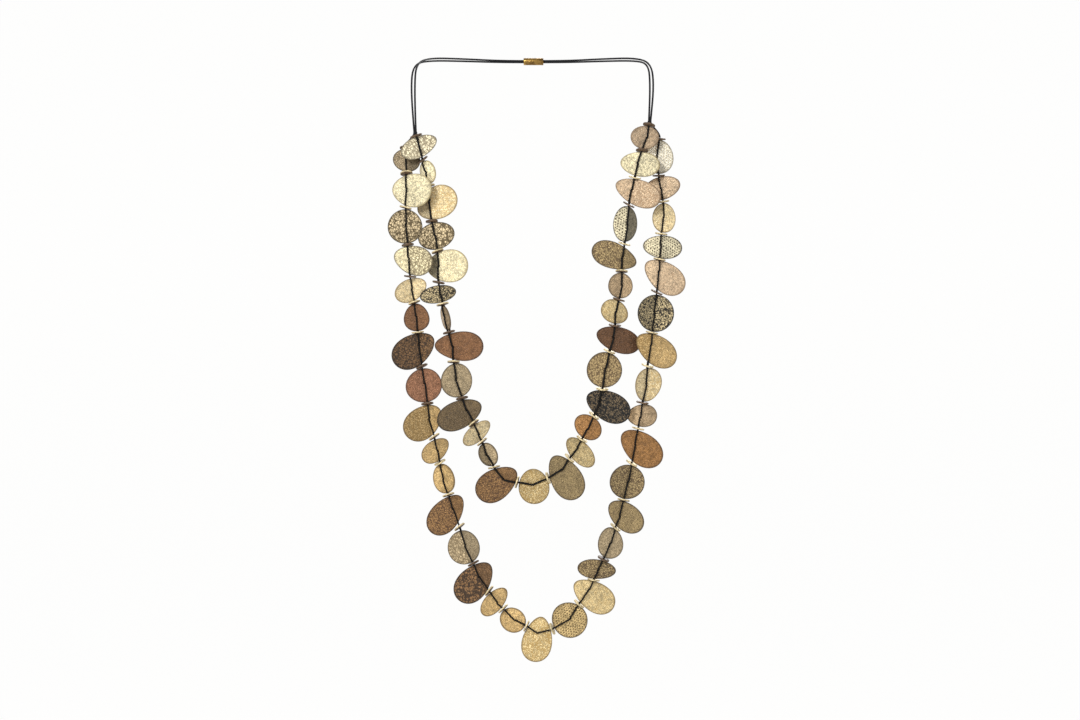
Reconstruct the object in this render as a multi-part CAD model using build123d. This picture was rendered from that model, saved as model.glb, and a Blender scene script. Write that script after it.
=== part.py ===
from build123d import *
import math
import os
from collections import namedtuple

# A double strand necklace: leather petals and washers on waxed cord, in millimetres.
# The origin is the nape, +Z is up and the wearer faces -Y, so X runs to the right of a viewer
# who stands in front. Both strands hang in front of the neck and share one pair of neck cords.

# Driving sizes of the leather and the cord
PETAL = 24.0             # a middling petal's length, which the charts' shares refer to
LEATHER = 1.1            # thickness of a petal
WASHER = 8.2             # diameter of the leather washer between two petals
WASHER_THICK = 1.0       # thickness of a washer
CORD = 1.0               # diameter of one waxed cord
KNOT = 3.2               # diameter of the knot on top of the inner strand, at its foot
KNOT_TALL = 2.2          # height of that knot
KNOT_TOP = 2.6           # its diameter at the top, wider than the two cords that leave it
TAIL_STRAIGHT = 2.7      # how far above the outer strand's first washer a tail runs straight down

# Driving sizes of the loop
NECK_DEPTH = 105.0       # how far the strands hang in front of the nape
STRAND_DROP = 59.4       # how far below the nape the strands' level zero lies
BARREL = 5.0             # diameter of the barrel at the nape
BARREL_LONG = 14.0       # its length
BARREL_BORE_DEEP = 3.0   # how far the cords go into it

# Clearances
CORD_GAP = 0.1           # between a cord and the leather or the next cord that it passes
EDGE_GAP = 0.1           # between a washer and a petal's edge
SEAT_GAP = 0.2           # between a knot or a cord's end and what it sits on
BITE = 0.15              # how deep a cord presses into the small petals that are one with it

# Sizes that follow from them
CORD_RADIUS = CORD / 2
SWAP = (CORD + CORD_GAP) / 2             # each cord's place to one side of a petal's hole
PETAL_HOLE = 2 * CORD + 5 * CORD_GAP     # both cords pass through it side by side
SWAP_RUN = CORD                          # run of thread in which the cords swap faces
FREE_HEIGHT = LEATHER / 2 + CORD_RADIUS + CORD_GAP
PRESSED_HEIGHT = LEATHER / 2 + CORD_RADIUS - BITE

BARREL_LEAD = 16.0       # straight run of the neck cords before the barrel
NECK_BEND = 60.0         # largest radius of a neck cord's bends
OUTLINE_POINTS = 24      # points on a petal's outline, worked out by a formula
SEARCH_STEPS = 30        # halvings when an edge is looked for
FAR = 4 * PETAL          # further than any petal reaches

# A petal of a chart. Lengths are shares of PETAL, as seen from the front; angles are degrees.
#   long, wide   length and width of the egg shape
#   aim          where the narrow end points, turned left from the way that the strand runs
#   taper        how much narrower that end is
#   inward, on   how far the shape's middle lies inward of the hole, and on along the strand
#   turn         how far the strand turns left at the hole
#   yaw          how far the inward side comes forward
#   fold         how far both sides come forward of the fold along the cords
#   tip          how far the washer after this petal is tipped
#   slack        bare cord after this petal, on top of what the washer needs
Petal = namedtuple("Petal", "long wide aim taper inward on turn yaw fold tip slack")

OUTER = [Petal(*row) for row in (
    (0.77, 0.66, -107, 0.05, 0.01, 0.08, 0, 0, -6, 10, 0.0),
    (1.11, 0.93, -98, 0.15, 0.15, 0.07, -5, 18, 6, 0, 0.5),
    (0.95, 0.95, 174, 0.04, -0.02, 0.06, 5, -8, 2, 8, 0.0),
    (1.10, 0.80, -110, 0.18, 0.12, 0.07, 0, 14, 5, 0, 0.0),
    (0.93, 0.61, 109, 0.10, -0.03, 0.02, 2, -8, 7, 6, 0.0),
    (0.77, 0.71, 177, 0.15, 0.00, 0.02, -4, 10, -4, 0, 0.0),
    (1.29, 0.87, 118, 0.18, -0.16, 0.17, 2, -6, 5, 9, 0.0),
    (1.00, 0.94, -80, 0.05, -0.03, 0.05, -2, -7, 4, 10, 0.0),
    (1.18, 0.86, 120, 0.15, -0.17, 0.07, 12, -9, 7, 8, 1.0),
    (0.88, 0.56, 118, 0.12, -0.06, -0.01, -4, 8, -6, -8, 0.0),
    (0.83, 0.60, 177, 0.06, 0.01, -0.02, 5, 24, 12, 9, 0.0),
    (1.29, 0.81, 122, 0.18, -0.23, 0.08, 4, -7, -9, 10, 1.0),
    (0.95, 0.89, 166, 0.05, -0.06, 0.04, 8, 10, -8, 9, 0.0),
    (1.31, 0.86, 110, 0.20, -0.19, 0.05, 13, -6, -5, 11, 0.0),
    (0.97, 0.52, 99, 0.08, -0.05, -0.07, 10, 7, 5, 8, 0.0),
    (0.75, 0.65, 2, 0.00, -0.02, -0.05, 19, -10, 16, 6, 0.0),
    (1.27, 0.82, 91, 0.24, -0.18, 0.07, 46, 5, 3, 10, 0.8),
    (1.00, 0.96, 100, 0.04, -0.02, -0.05, 28, -6, -4, 6, 0.0),
    (1.29, 0.80, 86, 0.20, -0.21, -0.09, 9, 6, -6, 0, 0.0),
    (1.06, 0.54, -69, 0.08, 0.06, 0.04, 3, -8, 8, 10, 0.0),
    (0.88, 0.70, 24, 0.12, 0.00, 0.02, 6, 15, -9, 8, 0.0),
    (1.12, 0.74, 68, 0.12, -0.15, 0.03, 10, -6, 7, -6, 0.0),
    (0.95, 0.97, 12, 0.02, 0.02, 0.00, 2, 8, 5, 9, 0.0),
    (1.32, 0.86, 62, 0.15, -0.18, -0.07, 0, -7, 4, 0, 1.4),
    (0.82, 0.63, 102, 0.12, -0.04, 0.05, 5, -12, -7, 6, 0.0),
    (0.94, 0.72, 172, 0.10, -0.06, -0.02, 7, 12, 7, 9, 0.0),
    (1.27, 0.80, 62, 0.14, -0.17, -0.11, 4, 12, -4, 0, 0.0),
    (1.03, 1.00, 5, 0.00, -0.03, -0.03, 2, -6, 5, 8, 0.0),
    (1.28, 0.80, 58, 0.18, -0.17, -0.14, 2, 7, 4, 0, 0.0),
    (1.08, 0.64, 88, 0.10, -0.05, -0.06, 3, -5, 2, 6, 0.0),
    (0.83, 0.65, 1, 0.00, -0.02, 0.00, 8, 12, -20, 9, 0.0),
    (1.00, 0.65, -87, 0.05, -0.03, 0.01, 2, -14, 4, 9, 0.0),
    (0.95, 0.77, 3, 0.10, -0.08, 0.04, -18, -6, 3, 8, 0.0),
)]

INNER = [Petal(*row) for row in (
    (1.06, 0.58, 100, 0.12, -0.01, 0.17, -4, -9, 6, -8, 0.0),
    (0.65, 0.44, 178, 0.00, 0.04, 0.01, -10, 50, -20, 5, 0.0),
    (1.17, 0.90, -67, 0.12, 0.20, 0.09, 3, 13, -3, 8, 0.0),
    (1.02, 0.75, 95, 0.03, 0.04, 0.01, -3, -9, 3, 8, 0.0),
    (1.15, 0.90, -89, 0.15, 0.24, -0.01, -6, 14, 2, 5, 0.5),
    (1.00, 0.49, 90, 0.03, -0.06, -0.02, 6, -14, -6, 7, 0.0),
    (0.70, 0.26, 0, 0.00, 0.00, 0.02, 0, 68, -8, 6, 0.0),
    (1.35, 0.80, -100, 0.22, 0.18, 0.03, -12, 6, 4, 9, 0.0),
    (0.95, 0.86, 161, 0.04, 0.02, 0.04, 12, -8, 6, 10, 0.0),
    (1.30, 0.77, 90, 0.14, -0.22, 0.02, 8, -10, 5, 11, 0.0),
    (0.94, 0.46, 108, 0.05, -0.04, -0.06, 0, 9, -6, 8, 0.0),
    (0.68, 0.50, 0, 0.00, 0.06, 0.00, 14, -12, 42, 6, 0.0),
    (1.29, 0.85, 68, 0.20, -0.21, -0.07, 36, 7, -5, 6, 1.1),
    (0.97, 0.85, 88, 0.08, -0.05, -0.01, 32, -5, 3, 10, 0.0),
    (1.34, 0.86, 76, 0.20, -0.22, -0.08, 26, -7, -4, 11, 0.0),
    (1.02, 0.56, 74, 0.05, -0.14, -0.08, 9, 8, 6, 10, 0.0),
    (0.82, 0.64, 78, 0.03, 0.02, 0.05, 6, -9, -7, 10, 0.0),
    (1.29, 0.82, 80, 0.15, -0.25, -0.05, 12, -8, 4, 10, 0.0),
    (0.98, 0.98, 10, 0.03, 0.02, -0.05, -5, 8, 5, 10, 0.0),
    (1.25, 0.70, 84, 0.12, -0.15, -0.03, 8, 12, -5, 10, 0.0),
    (0.78, 0.64, -113, 0.08, 0.04, 0.00, -10, -9, 8, 0, 0.0),
    (0.71, 0.68, 7, 0.03, 0.03, -0.03, 11, 20, -9, -10, 0.0),
    (1.29, 0.72, -104, 0.20, 0.23, 0.00, -7, -6, 4, 6, 0.0),
    (0.99, 0.66, 2, 0.00, 0.05, 0.00, 2, 12, -37, 8, 0.0),
    (1.30, 0.72, 79, 0.18, -0.17, -0.05, 0, -14, 5, 11, 0.0),
    (1.08, 0.68, 98, 0.10, -0.06, 0.00, -5, -12, 4, -12, 0.0),
    (0.65, 0.78, -169, 0.06, 0.06, -0.01, 14, -8, -4, -12, 0.0),
)]

# The chosen points of each strand's route through its washers, as seen from the front, from the
# top left to the top right: X, how far back of the strands' plane, and the height over level
# zero. The strand's own length, the sum of all that is on it, then sets the route's size.
OUTER_ROUTE = [
    (-84.2, 6.0, -11), (-83.6, 1.5, -30), (-84.0, -0.5, -52), (-81.0, 0.0, -97), (-78.3, 0.0, -114),
    (-73.2, 0.0, -157), (-69.4, 0.0, -182), (-61.2, 0.0, -220), (-55.6, 0.0, -241), (-38.8, 0.0, -287),
    (-27.4, 0.0, -306), (-17.0, 0.0, -318), (-1.6, 0.0, -328), (14.6, 0.0, -328), (32.0, 0.0, -310),
    (47.6, 0.0, -280), (60.2, 0.0, -242), (70.0, 0.0, -193), (76.0, 0.0, -152), (81.8, 0.0, -105),
    (84.6, 0.0, -68), (86.0, 2.5, -48), (83.2, 4.5, -30), (83.8, 6.0, -5),
]
INNER_ROUTE = [
    (-76.6, 0.0, -3.5), (-72.2, 0.5, -20), (-68.5, 1.5, -35), (-66.2, 0.5, -61), (-62.3, 0.0, -81),
    (-61.6, 0.0, -102), (-54.9, 0.0, -133), (-52.0, 0.0, -152), (-46.0, 0.0, -177), (-37.8, 0.0, -194),
    (-24.0, 0.0, -223), (-10.5, 0.0, -230.5), (9.5, 0.0, -228), (24.5, 0.0, -214), (39.0, 0.0, -189),
    (45.0, 0.0, -171), (49.8, 0.0, -146), (55.0, 0.0, -120), (58.0, 0.0, -93), (62.6, 0.0, -50),
    (66.4, 0.0, -32), (71.2, 0.0, -14), (76.0, 0.0, 3.5),
]

# The chosen points of a neck cord's route from its knot to the barrel at the nape, as shares of
# the knot's distance from the middle, of NECK_DEPTH and of STRAND_DROP, with the distance
# between the two cords in millimetres
NECK_ROUTE = [
    (1.02, 0.996, 0.50, 2.5), (1.01, 0.865, 0.23, 2.4), (0.91, 0.53, 0.10, 2.0),
    (0.61, 0.16, 0.025, 1.6),
]

# Number of petals in each stretch of thread, and the small petals that are one with it
OUTER_STRETCHES = (5, 5, 4, 3, 3, 5, 4, 4)
INNER_STRETCHES = (5, 4, 3, 2, 3, 4, 3, 3)
OUTER_JOINED = {1, 5, 6, 10, 11, 15, 16, 21, 25, 31}
INNER_JOINED = {2, 6, 7, 11, 12, 16, 17, 21, 22, 27}


# Small vector helpers, on plain tuples
def add(a, b, share=1.0):
    return tuple(p + q * share for p, q in zip(a, b))


def minus(a, b):
    return add(a, b, -1.0)


def dot(a, b):
    return sum(p * q for p, q in zip(a, b))


def cross(a, b):
    return (a[1] * b[2] - a[2] * b[1], a[2] * b[0] - a[0] * b[2], a[0] * b[1] - a[1] * b[0])


def unit(a):
    size = math.sqrt(dot(a, a))
    return tuple(p / size for p in a)


def polar(angle, distance=1.0):
    return distance * math.cos(math.radians(angle)), distance * math.sin(math.radians(angle))


def turned(point, angle):
    c, s = polar(angle)
    return point[0] * c - point[1] * s, point[0] * s + point[1] * c


# The egg shape of a petal, flat, with its hole at (0, 0), the strand running along +X and the
# inside of the loop at +Y
def is_inside(petal, point):
    """Whether a flat point lies on the petal."""
    centre = (petal.on * PETAL, petal.inward * PETAL)
    u, v = turned((point[0] - centre[0], point[1] - centre[1]), -petal.aim)
    share = u / (petal.long * PETAL / 2)
    if abs(share) >= 1:
        return False
    half = petal.wide * PETAL / 2 * math.sqrt(1 - share * share) * (1 - petal.taper * share)
    return abs(v) < half


def outline(petal):
    """Points round the petal as it is laid out before its yaw, so that its sides look right."""
    upright = math.cos(math.radians(petal.fold))
    inner = upright / math.cos(math.radians(petal.yaw + petal.fold))
    outer = upright / math.cos(math.radians(petal.yaw - petal.fold))
    points = []
    for n in range(OUTLINE_POINTS):
        c, s = polar(360 * n / OUTLINE_POINTS)
        u = petal.long * PETAL / 2 * c
        v = petal.wide * PETAL / 2 * s * (1 - petal.taper * c)
        x, y = turned((u, v), petal.aim)
        y += petal.inward * PETAL
        points.append((x + petal.on * PETAL, y * (inner if y > 0 else outer)))
    return points


def edge(petal, heading, side):
    """How far the petal reaches along a heading from its hole, at a distance to the left of it."""
    ahead, left = polar(heading), polar(heading + 90)
    far = FAR
    while far > -FAR:
        point = (ahead[0] * far + left[0] * side, ahead[1] * far + left[1] * side)
        if is_inside(petal, point):
            break
        far -= EDGE_GAP
    near = far
    far += EDGE_GAP
    for _ in range(SEARCH_STEPS):
        middle = (near + far) / 2
        point = (ahead[0] * middle + left[0] * side, ahead[1] * middle + left[1] * side)
        near, far = (middle, far) if is_inside(petal, point) else (near, middle)
    return near


def run_in(petal):
    """Distance from the edge where the strand comes onto the petal to its hole."""
    return edge(petal, 180 - petal.turn / 2, 0)


def run_out(petal):
    """Distance from the hole to the edge where the strand leaves the petal."""
    return edge(petal, petal.turn / 2, 0)


def chord(petal):
    """The strand's two ends on the petal, flat."""
    came = polar(180 - petal.turn / 2, run_in(petal))
    left = polar(petal.turn / 2, run_out(petal))
    return came, left


def leaving_edge(petal, sideways):
    """How far the petal's edge runs ahead of the strand's exit, at a distance inward of it."""
    return edge(petal, petal.turn / 2, sideways) - run_out(petal)


def arriving_edge(petal, sideways):
    """How far the petal's edge runs back of the strand's entry, at a distance inward of it."""
    return edge(petal, 180 - petal.turn / 2, -sideways) - run_in(petal)


# Where a washer sits between two petals' edges
Seat = namedtuple("Seat", "before after slope tip")


def seat_between(before, after, tip, slack, bend):
    """The room that a washer needs after one petal and before the next, either of them None."""
    reach = WASHER / 2
    lean = math.tan(math.radians(bend / 2))
    places = [reach * n / 4 for n in range(-4, 5)]
    leaving = [leaving_edge(before, s) + lean * s for s in places] if before else None
    arriving = [arriving_edge(after, s) + lean * s for s in places] if after else None
    slope = 0.0
    if before:
        slope += (leaving[-1] - leaving[0]) / WASHER / 2
    if after:
        slope += (arriving[0] - arriving[-1]) / WASHER / 2
    leans = [abs(petal.yaw) + abs(petal.fold) for petal in (before, after) if petal]
    thick = LEATHER / 2 + reach * math.sin(math.radians(max(leans)))
    half = WASHER_THICK / 2 * math.hypot(1, slope) + EDGE_GAP + slack / 2
    half += abs(math.sin(math.radians(tip))) * thick
    room = [0.0, 0.0]
    if before:
        room[0] = half + max(ahead - slope * s for ahead, s in zip(leaving, places))
    if after:
        room[1] = half + max(back + slope * s for back, s in zip(arriving, places))
    return Seat(room[0], room[1], slope, tip)


def washer_seats(petals, first_tip, bends):
    """The seats of a strand's washers, one more than its petals."""
    seats = [seat_between(None, petals[0], first_tip, 0.0, 0.0)]
    for this, after, bend in zip(petals, petals[1:] + [None], bends + [0.0]):
        seats.append(seat_between(this, after, this.tip, this.slack, bend))
    return seats


# A strand's route through space
def spline_points(points, steps=16):
    """A smooth line through chosen points, as many short runs."""
    line = []
    padded = [add(points[0], minus(points[0], points[1]))] + points
    padded.append(add(points[-1], minus(points[-1], points[-2])))
    for a, b, c, d in zip(padded, padded[1:], padded[2:], padded[3:]):
        for n in range(steps):
            t = n / steps
            line.append(tuple(
                0.5 * (2 * q + (r - p) * t + (2 * p - 5 * q + 4 * r - s) * t * t
                       + (3 * q - p - 3 * r + s) * t ** 3)
                for p, q, r, s in zip(a, b, c, d)
            ))
    return line + [points[-1]]


def lengths_along(line):
    total = [0.0]
    for a, b in zip(line, line[1:]):
        total.append(total[-1] + math.dist(a, b))
    return total


def point_at(line, totals, distance):
    """The point of a line at a distance along it."""
    distance = min(max(distance, 0.0), totals[-1])
    n = max(k for k in range(len(totals) - 1) if totals[k] <= distance)
    share = (distance - totals[n]) / (totals[n + 1] - totals[n])
    return add(line[n], minus(line[n + 1], line[n]), share)


def strand_line(route, length):
    """A route scaled to the strand's length about the middle of level zero, in its real place."""
    line = spline_points([(x, back, z) for x, back, z in route])
    scale = length / lengths_along(line)[-1]
    return [(x * scale, back - NECK_DEPTH, z * scale - STRAND_DROP) for x, back, z in line]


# A petal in its place: its hole, and the frame of the strand there: along it, inward, forward
Placed = namedtuple("Placed", "petal hole along inward forward")
TO_VIEWER = (0.0, -1.0, 0.0)


def frame_along(direction):
    along = unit(direction)
    forward = unit(minus(TO_VIEWER, tuple(p * dot(TO_VIEWER, along) for p in along)))
    return along, cross(forward, along), forward


def place_petal(petal, start, end):
    """Puts a petal so that the strand enters it at start and leaves it at end."""
    came, left = chord(petal)
    lean = math.degrees(math.atan2(left[1] - came[1], left[0] - came[0]))
    along, inward, forward = frame_along(minus(end, start))
    c, s = polar(-lean)
    own_along = add(tuple(p * c for p in along), inward, s)
    own_inward = add(tuple(p * c for p in inward), along, -s)
    hole = add(add(start, own_along, -came[0]), own_inward, -came[1])
    return Placed(petal, hole, own_along, own_inward, forward)


def run_heading(place, way):
    """The direction of the strand in the view from the front, onto (-1) or off (+1) a petal."""
    c, s = polar(way * place.petal.turn / 2)
    run = add(tuple(p * c for p in place.along), place.inward, s)
    return math.degrees(math.atan2(run[2], run[0]))


def left_over_bends(placed):
    """How far the strand still turns left at each washer between two petals."""
    bends = []
    for this, after in zip(placed, placed[1:]):
        bends.append((run_heading(after, -1) - run_heading(this, 1) + 180) % 360 - 180)
    return bends


def place_with(petals, seats, route):
    """All petals of a strand and the middles of its washers, in their places."""
    runs = [math.dist(*chord(petal)) for petal in petals]
    length = sum(runs) + sum(seat.before + seat.after for seat in seats)
    line = strand_line(route, length)
    totals = lengths_along(line)
    placed, middles, distance = [], [line[0]], seats[0].after
    for petal, run, seat in zip(petals, runs, seats[1:]):
        start, end = point_at(line, totals, distance), point_at(line, totals, distance + run)
        placed.append(place_petal(petal, start, end))
        middles.append(point_at(line, totals, distance + run + seat.before))
        distance += run + seat.before + seat.after
    return placed, middles


def place_strand(petals, route):
    """Places a strand twice, so that its washers allow for the bends that the first try shows."""
    seats = washer_seats(petals, 0.0, [0.0] * (len(petals) - 1))
    placed, middles = place_with(petals, seats, route)
    seats = washer_seats(petals, 0.0, left_over_bends(placed))
    placed, middles = place_with(petals, seats, route)
    return placed, middles, seats


def in_space(place, on, sideways, height, lean):
    """The point over a petal's fold, given its place along, inward and off the leather."""
    c, s = polar(lean)
    across = add(tuple(p * c for p in place.inward), place.forward, s)
    off = add(tuple(p * c for p in place.forward), place.inward, -s)
    point = add(place.hole, place.along, on)
    return add(add(point, across, sideways), off, height)


def side_lean(petal, sideways):
    """How far the side of the fold that a sideways place lies on is turned."""
    return petal.yaw + (petal.fold if sideways > 0 else -petal.fold)


def over_edge(petal, edge_ahead):
    """How far past the petal's edge a cord must run before it may bend towards the leather."""
    return EDGE_GAP + max(edge_ahead(petal, s) for s in (-CORD, 0, CORD))


def cord_over(place, cord, sign, height):
    """The four points of one cord across one petal, where it swaps from one face to the other."""
    petal = place.petal
    rise = height / math.cos(math.radians(petal.fold))
    lift = SWAP * math.tan(math.radians(abs(petal.fold)))
    side = SWAP if cord == 0 else -SWAP
    start = polar(180 - petal.turn / 2, run_in(petal) + over_edge(petal, arriving_edge))
    end = polar(petal.turn / 2, run_out(petal) + over_edge(petal, leaving_edge))
    points = []
    for (on, sideways), way in ((start, sign), (end, -sign)):
        lean = side_lean(petal, sideways)
        flat = sideways / math.cos(math.radians(lean))
        base = in_space(place, on, flat, 0, lean)
        points.append(add(base, minus(in_space(place, 0, 0, way * rise, petal.yaw), place.hole)))
    swap = [
        in_space(place, -SWAP_RUN / 2, side, sign * (rise + lift), petal.yaw),
        in_space(place, SWAP_RUN / 2, side, -sign * (rise + lift), petal.yaw),
    ]
    return [points[0], swap[0], swap[1], points[1]]


# Solids
def folded_plate(fold):
    """A plate far larger than a petal, folded along X."""
    rise = FAR * math.tan(math.radians(fold))
    half = LEATHER / 2 / math.cos(math.radians(fold))
    section = Polygon(
        (-FAR, rise - half), (0, -half), (FAR, rise - half), (FAR, rise + half), (0, half),
        (-FAR, rise + half), align=None,
    )
    return extrude(Plane.YZ * section, FAR, both=True)


def petal_solid(place, with_hole):
    """A folded petal in its place."""
    petal = place.petal
    shape = make_face(Spline(*outline(petal), periodic=True))
    solid = folded_plate(petal.fold) & extrude(shape, FAR, both=True)
    if with_hole:
        solid -= Cylinder(PETAL_HOLE / 2, FAR)
    frame = Plane(origin=place.hole, x_dir=place.along, z_dir=place.forward)
    return frame.location * Rot(X=petal.yaw) * solid


def washer_axis(before, after, seat):
    """The axis of a washer: along the strand, turned by its slope and tip."""
    along, inward, forward = frame_along(minus(after, before))
    leaned = unit(add(along, inward, -seat.slope))
    return unit(add(leaned, forward, math.tan(math.radians(seat.tip))))


def washer_solid(middle, axis):
    return Plane(origin=middle, z_dir=axis).location * Cylinder(WASHER / 2, WASHER_THICK)


def cord_solid(points):
    """A cord along straight runs, mitred where it bends."""
    section = Plane(origin=points[0], z_dir=minus(points[1], points[0])) * Circle(CORD_RADIUS)
    return sweep(section, path=Polyline(*points), transition=Transition.RIGHT)


def crossing(a, b, middle, axis):
    """Where the line from a to b crosses the plane through a washer's middle."""
    share = dot(minus(middle, a), axis) / dot(minus(b, a), axis)
    return add(a, minus(b, a), share)


def dropped(point, middle, axis):
    """The point moved along a washer's axis into the plane through its middle."""
    return add(point, axis, dot(minus(middle, point), axis))


class Strand:
    """One strand: its petals and washers in their places and the runs of its two cords."""

    def __init__(self, petals, route, joined):
        self.joined = joined
        self.placed, self.middles, seats = place_strand(petals, route)
        holes = [place.hole for place in self.placed]
        ends = zip([self.middles[0]] + holes, holes + [self.middles[-1]], seats)
        self.axes = [washer_axis(before, after, seat) for before, after, seat in ends]
        self.runs = [self.cord_run(cord) for cord in (0, 1)]

    def cord_run(self, cord):
        """The points of one cord over each petal."""
        run = []
        for n, place in enumerate(self.placed):
            height = PRESSED_HEIGHT if n + 1 in self.joined else FREE_HEIGHT
            run.append(cord_over(place, cord, 1 if (n + cord) % 2 == 0 else -1, height))
        return run

    def cord_points(self, run, first, last):
        """The points of one cord from washer number first to washer number last."""
        points = [point for over in run[first:last] for point in over]
        a, b = (self.middles[first], self.axes[first]), (self.middles[last], self.axes[last])
        start = crossing(run[first - 1][-1], points[0], *a) if first else dropped(points[0], *a)
        at_end = last == len(run)
        end = dropped(points[-1], *b) if at_end else crossing(points[-1], run[last][0], *b)
        return [start] + points + [end]

    def stretch(self, first, last):
        """The thread from one washer to another, with all washers but a former stretch's."""
        solid = Part() + [cord_solid(self.cord_points(run, first, last)) for run in self.runs]
        if first:
            mouth = add(self.middles[first], self.axes[first], WASHER_THICK / 2 + CORD_GAP)
            solid = split(solid, bisect_by=Plane(origin=mouth, z_dir=self.axes[first]), keep=Keep.TOP)
        own = range(first + 1 if first else 0, last + 1)
        solid += [washer_solid(self.middles[n], self.axes[n]) for n in own]
        small = [n for n in range(first, last) if n + 1 in self.joined]
        return solid + [petal_solid(self.placed[n], False) for n in small]

    def nodes(self, name, stretches):
        """All nodes of the strand: its larger petals and its stretches of thread."""
        nodes = {}
        for n, place in enumerate(self.placed):
            if n + 1 not in self.joined:
                nodes[f"petal_{name}_{n + 1:02d}"] = petal_solid(place, True)
        first = 0
        for number, count in enumerate(stretches):
            nodes[f"thread_{name}_{number + 1}"] = self.stretch(first, first + count)
            first += count
        return nodes


# The neck cords
def bend_radii(points):
    """The radius of the arc at each inner point, as large as the runs beside it allow."""
    radii = []
    for a, b, c in zip(points, points[1:], points[2:]):
        turn = math.acos(dot(unit(minus(b, a)), unit(minus(c, b))))
        shorter = min(math.dist(a, b), math.dist(b, c))
        radii.append(min(NECK_BEND, 0.45 * shorter / math.tan(turn / 2)))
    return radii


def bent_cord(points):
    """A cord along straight runs joined by arcs."""
    section = Plane(origin=points[0], z_dir=minus(points[1], points[0])) * Circle(CORD_RADIUS)
    return sweep(section, path=FilletPolyline(*points, radius=bend_radii(points)))


def neck_points(top, sign):
    """The route of one neck cord from the knot to the barrel, on the knot's own side."""
    points = [add(top, (sign * SWAP, 0, 0))]
    for x, y, z, apart in NECK_ROUTE:
        beside = sign * apart / 2 * max(0, 2 * y - 1)
        above = sign * apart / 2 * min(1, 2 - 2 * y)
        points.append((top[0] * x + beside, -NECK_DEPTH * y, -STRAND_DROP * z + above))
    side = math.copysign(1, top[0])
    inmost = BARREL_LONG / 2 - BARREL_BORE_DEEP + SEAT_GAP
    for x in (BARREL_LONG / 2 + BARREL_LEAD, inmost):
        points.append((side * x, BARREL / 2, sign * SWAP))
    return points


def neck_cords(upper, lower):
    """A knot over the inner strand, with its neck cords and the tails to the outer strand."""
    (seat, up), (outer_seat, outer_up) = upper, lower
    foot = add(seat, up, WASHER_THICK / 2 + SEAT_GAP)
    knot = Cone(KNOT / 2, KNOT_TOP / 2, KNOT_TALL, align=(Align.CENTER, Align.CENTER, Align.MIN))
    solid = Part() + Plane(origin=foot, z_dir=up).location * knot
    top = add(foot, up, KNOT_TALL - CORD_RADIUS)
    core = add(foot, up, KNOT_TALL / 2)
    behind = add(core, (0, WASHER / 2 + CORD, 0))
    for sign in (-1, 1):
        beside = (sign * SWAP, 0, 0)
        ahead = tuple(p * sign * FREE_HEIGHT for p in frame_along(outer_up)[2])
        arrive = add(outer_seat, outer_up, TAIL_STRAIGHT)
        end = add(outer_seat, outer_up, WASHER_THICK / 2 + SEAT_GAP)
        tail = [add(core, beside), add(behind, beside), add(arrive, ahead), add(end, ahead)]
        solid += [bent_cord(neck_points(top, sign)), cord_solid(tail)]
    return solid


def nape_barrel():
    """The barrel that joins the cord ends, with a blind bore at each end."""
    solid = Cylinder(BARREL / 2, BARREL_LONG)
    bore = Cylinder(PETAL_HOLE / 2, BARREL_BORE_DEEP, align=(Align.CENTER, Align.CENTER, Align.MAX))
    for turn in (0, 180):
        solid -= Rot(X=turn) * Pos(Z=BARREL_LONG / 2) * bore
    return Pos(Y=BARREL / 2) * Rot(Y=90) * solid


def top_of(strand, number):
    """The middle of a strand's first or last washer and the way up from it."""
    axis = strand.axes[number]
    up = axis if axis[2] > 0 else tuple(-p for p in axis)
    return strand.middles[number], up


def main():
    os.makedirs("parts", exist_ok=True)
    outer = Strand(OUTER, OUTER_ROUTE, OUTER_JOINED)
    inner = Strand(INNER, INNER_ROUTE, INNER_JOINED)
    nodes = {
        **outer.nodes("outer", OUTER_STRETCHES),
        **inner.nodes("inner", INNER_STRETCHES),
        "neck_cords_left": neck_cords(top_of(inner, 0), top_of(outer, 0)),
        "neck_cords_right": neck_cords(top_of(inner, -1), top_of(outer, -1)),
        "nape_barrel": nape_barrel(),
    }
    for node, solid in nodes.items():
        print(node, round(solid.volume, 1), len(solid.solids()))
        export_step(solid, f"parts/{node}.step")


main()
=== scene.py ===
# %% [markdown]
# A double strand necklace of leather petals. Egg-shaped pieces of embossed, metallic leather are
# strung flat on two thin waxed cords, with a small leather washer between each two petals.
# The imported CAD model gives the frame, so nothing here is fitted: every piece is made in metres
# where its CAD solid already hangs, and then stands for that solid.

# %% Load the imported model
import math
from collections import namedtuple
import bmesh
import bpy
from mathutils import Matrix, Vector, noise


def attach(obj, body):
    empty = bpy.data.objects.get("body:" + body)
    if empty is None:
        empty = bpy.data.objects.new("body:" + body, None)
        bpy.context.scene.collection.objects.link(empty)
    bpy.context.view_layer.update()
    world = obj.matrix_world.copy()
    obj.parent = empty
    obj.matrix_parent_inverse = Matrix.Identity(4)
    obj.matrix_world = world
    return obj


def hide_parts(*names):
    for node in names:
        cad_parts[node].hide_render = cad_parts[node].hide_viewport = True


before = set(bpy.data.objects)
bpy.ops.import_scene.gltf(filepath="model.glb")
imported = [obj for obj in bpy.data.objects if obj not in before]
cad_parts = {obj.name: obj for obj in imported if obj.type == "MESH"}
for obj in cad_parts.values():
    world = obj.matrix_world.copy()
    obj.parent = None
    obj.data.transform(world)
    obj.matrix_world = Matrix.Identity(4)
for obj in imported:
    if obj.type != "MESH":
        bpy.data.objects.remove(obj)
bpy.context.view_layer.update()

# %% [markdown]
# The camera comes first, because the view decides how much detail a petal needs. The necklace
# hangs as on a neck, so the camera looks straight at it from the front. It stands a metre and a
# half away with a long lens, which keeps the petals' egg shapes free of perspective.

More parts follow.
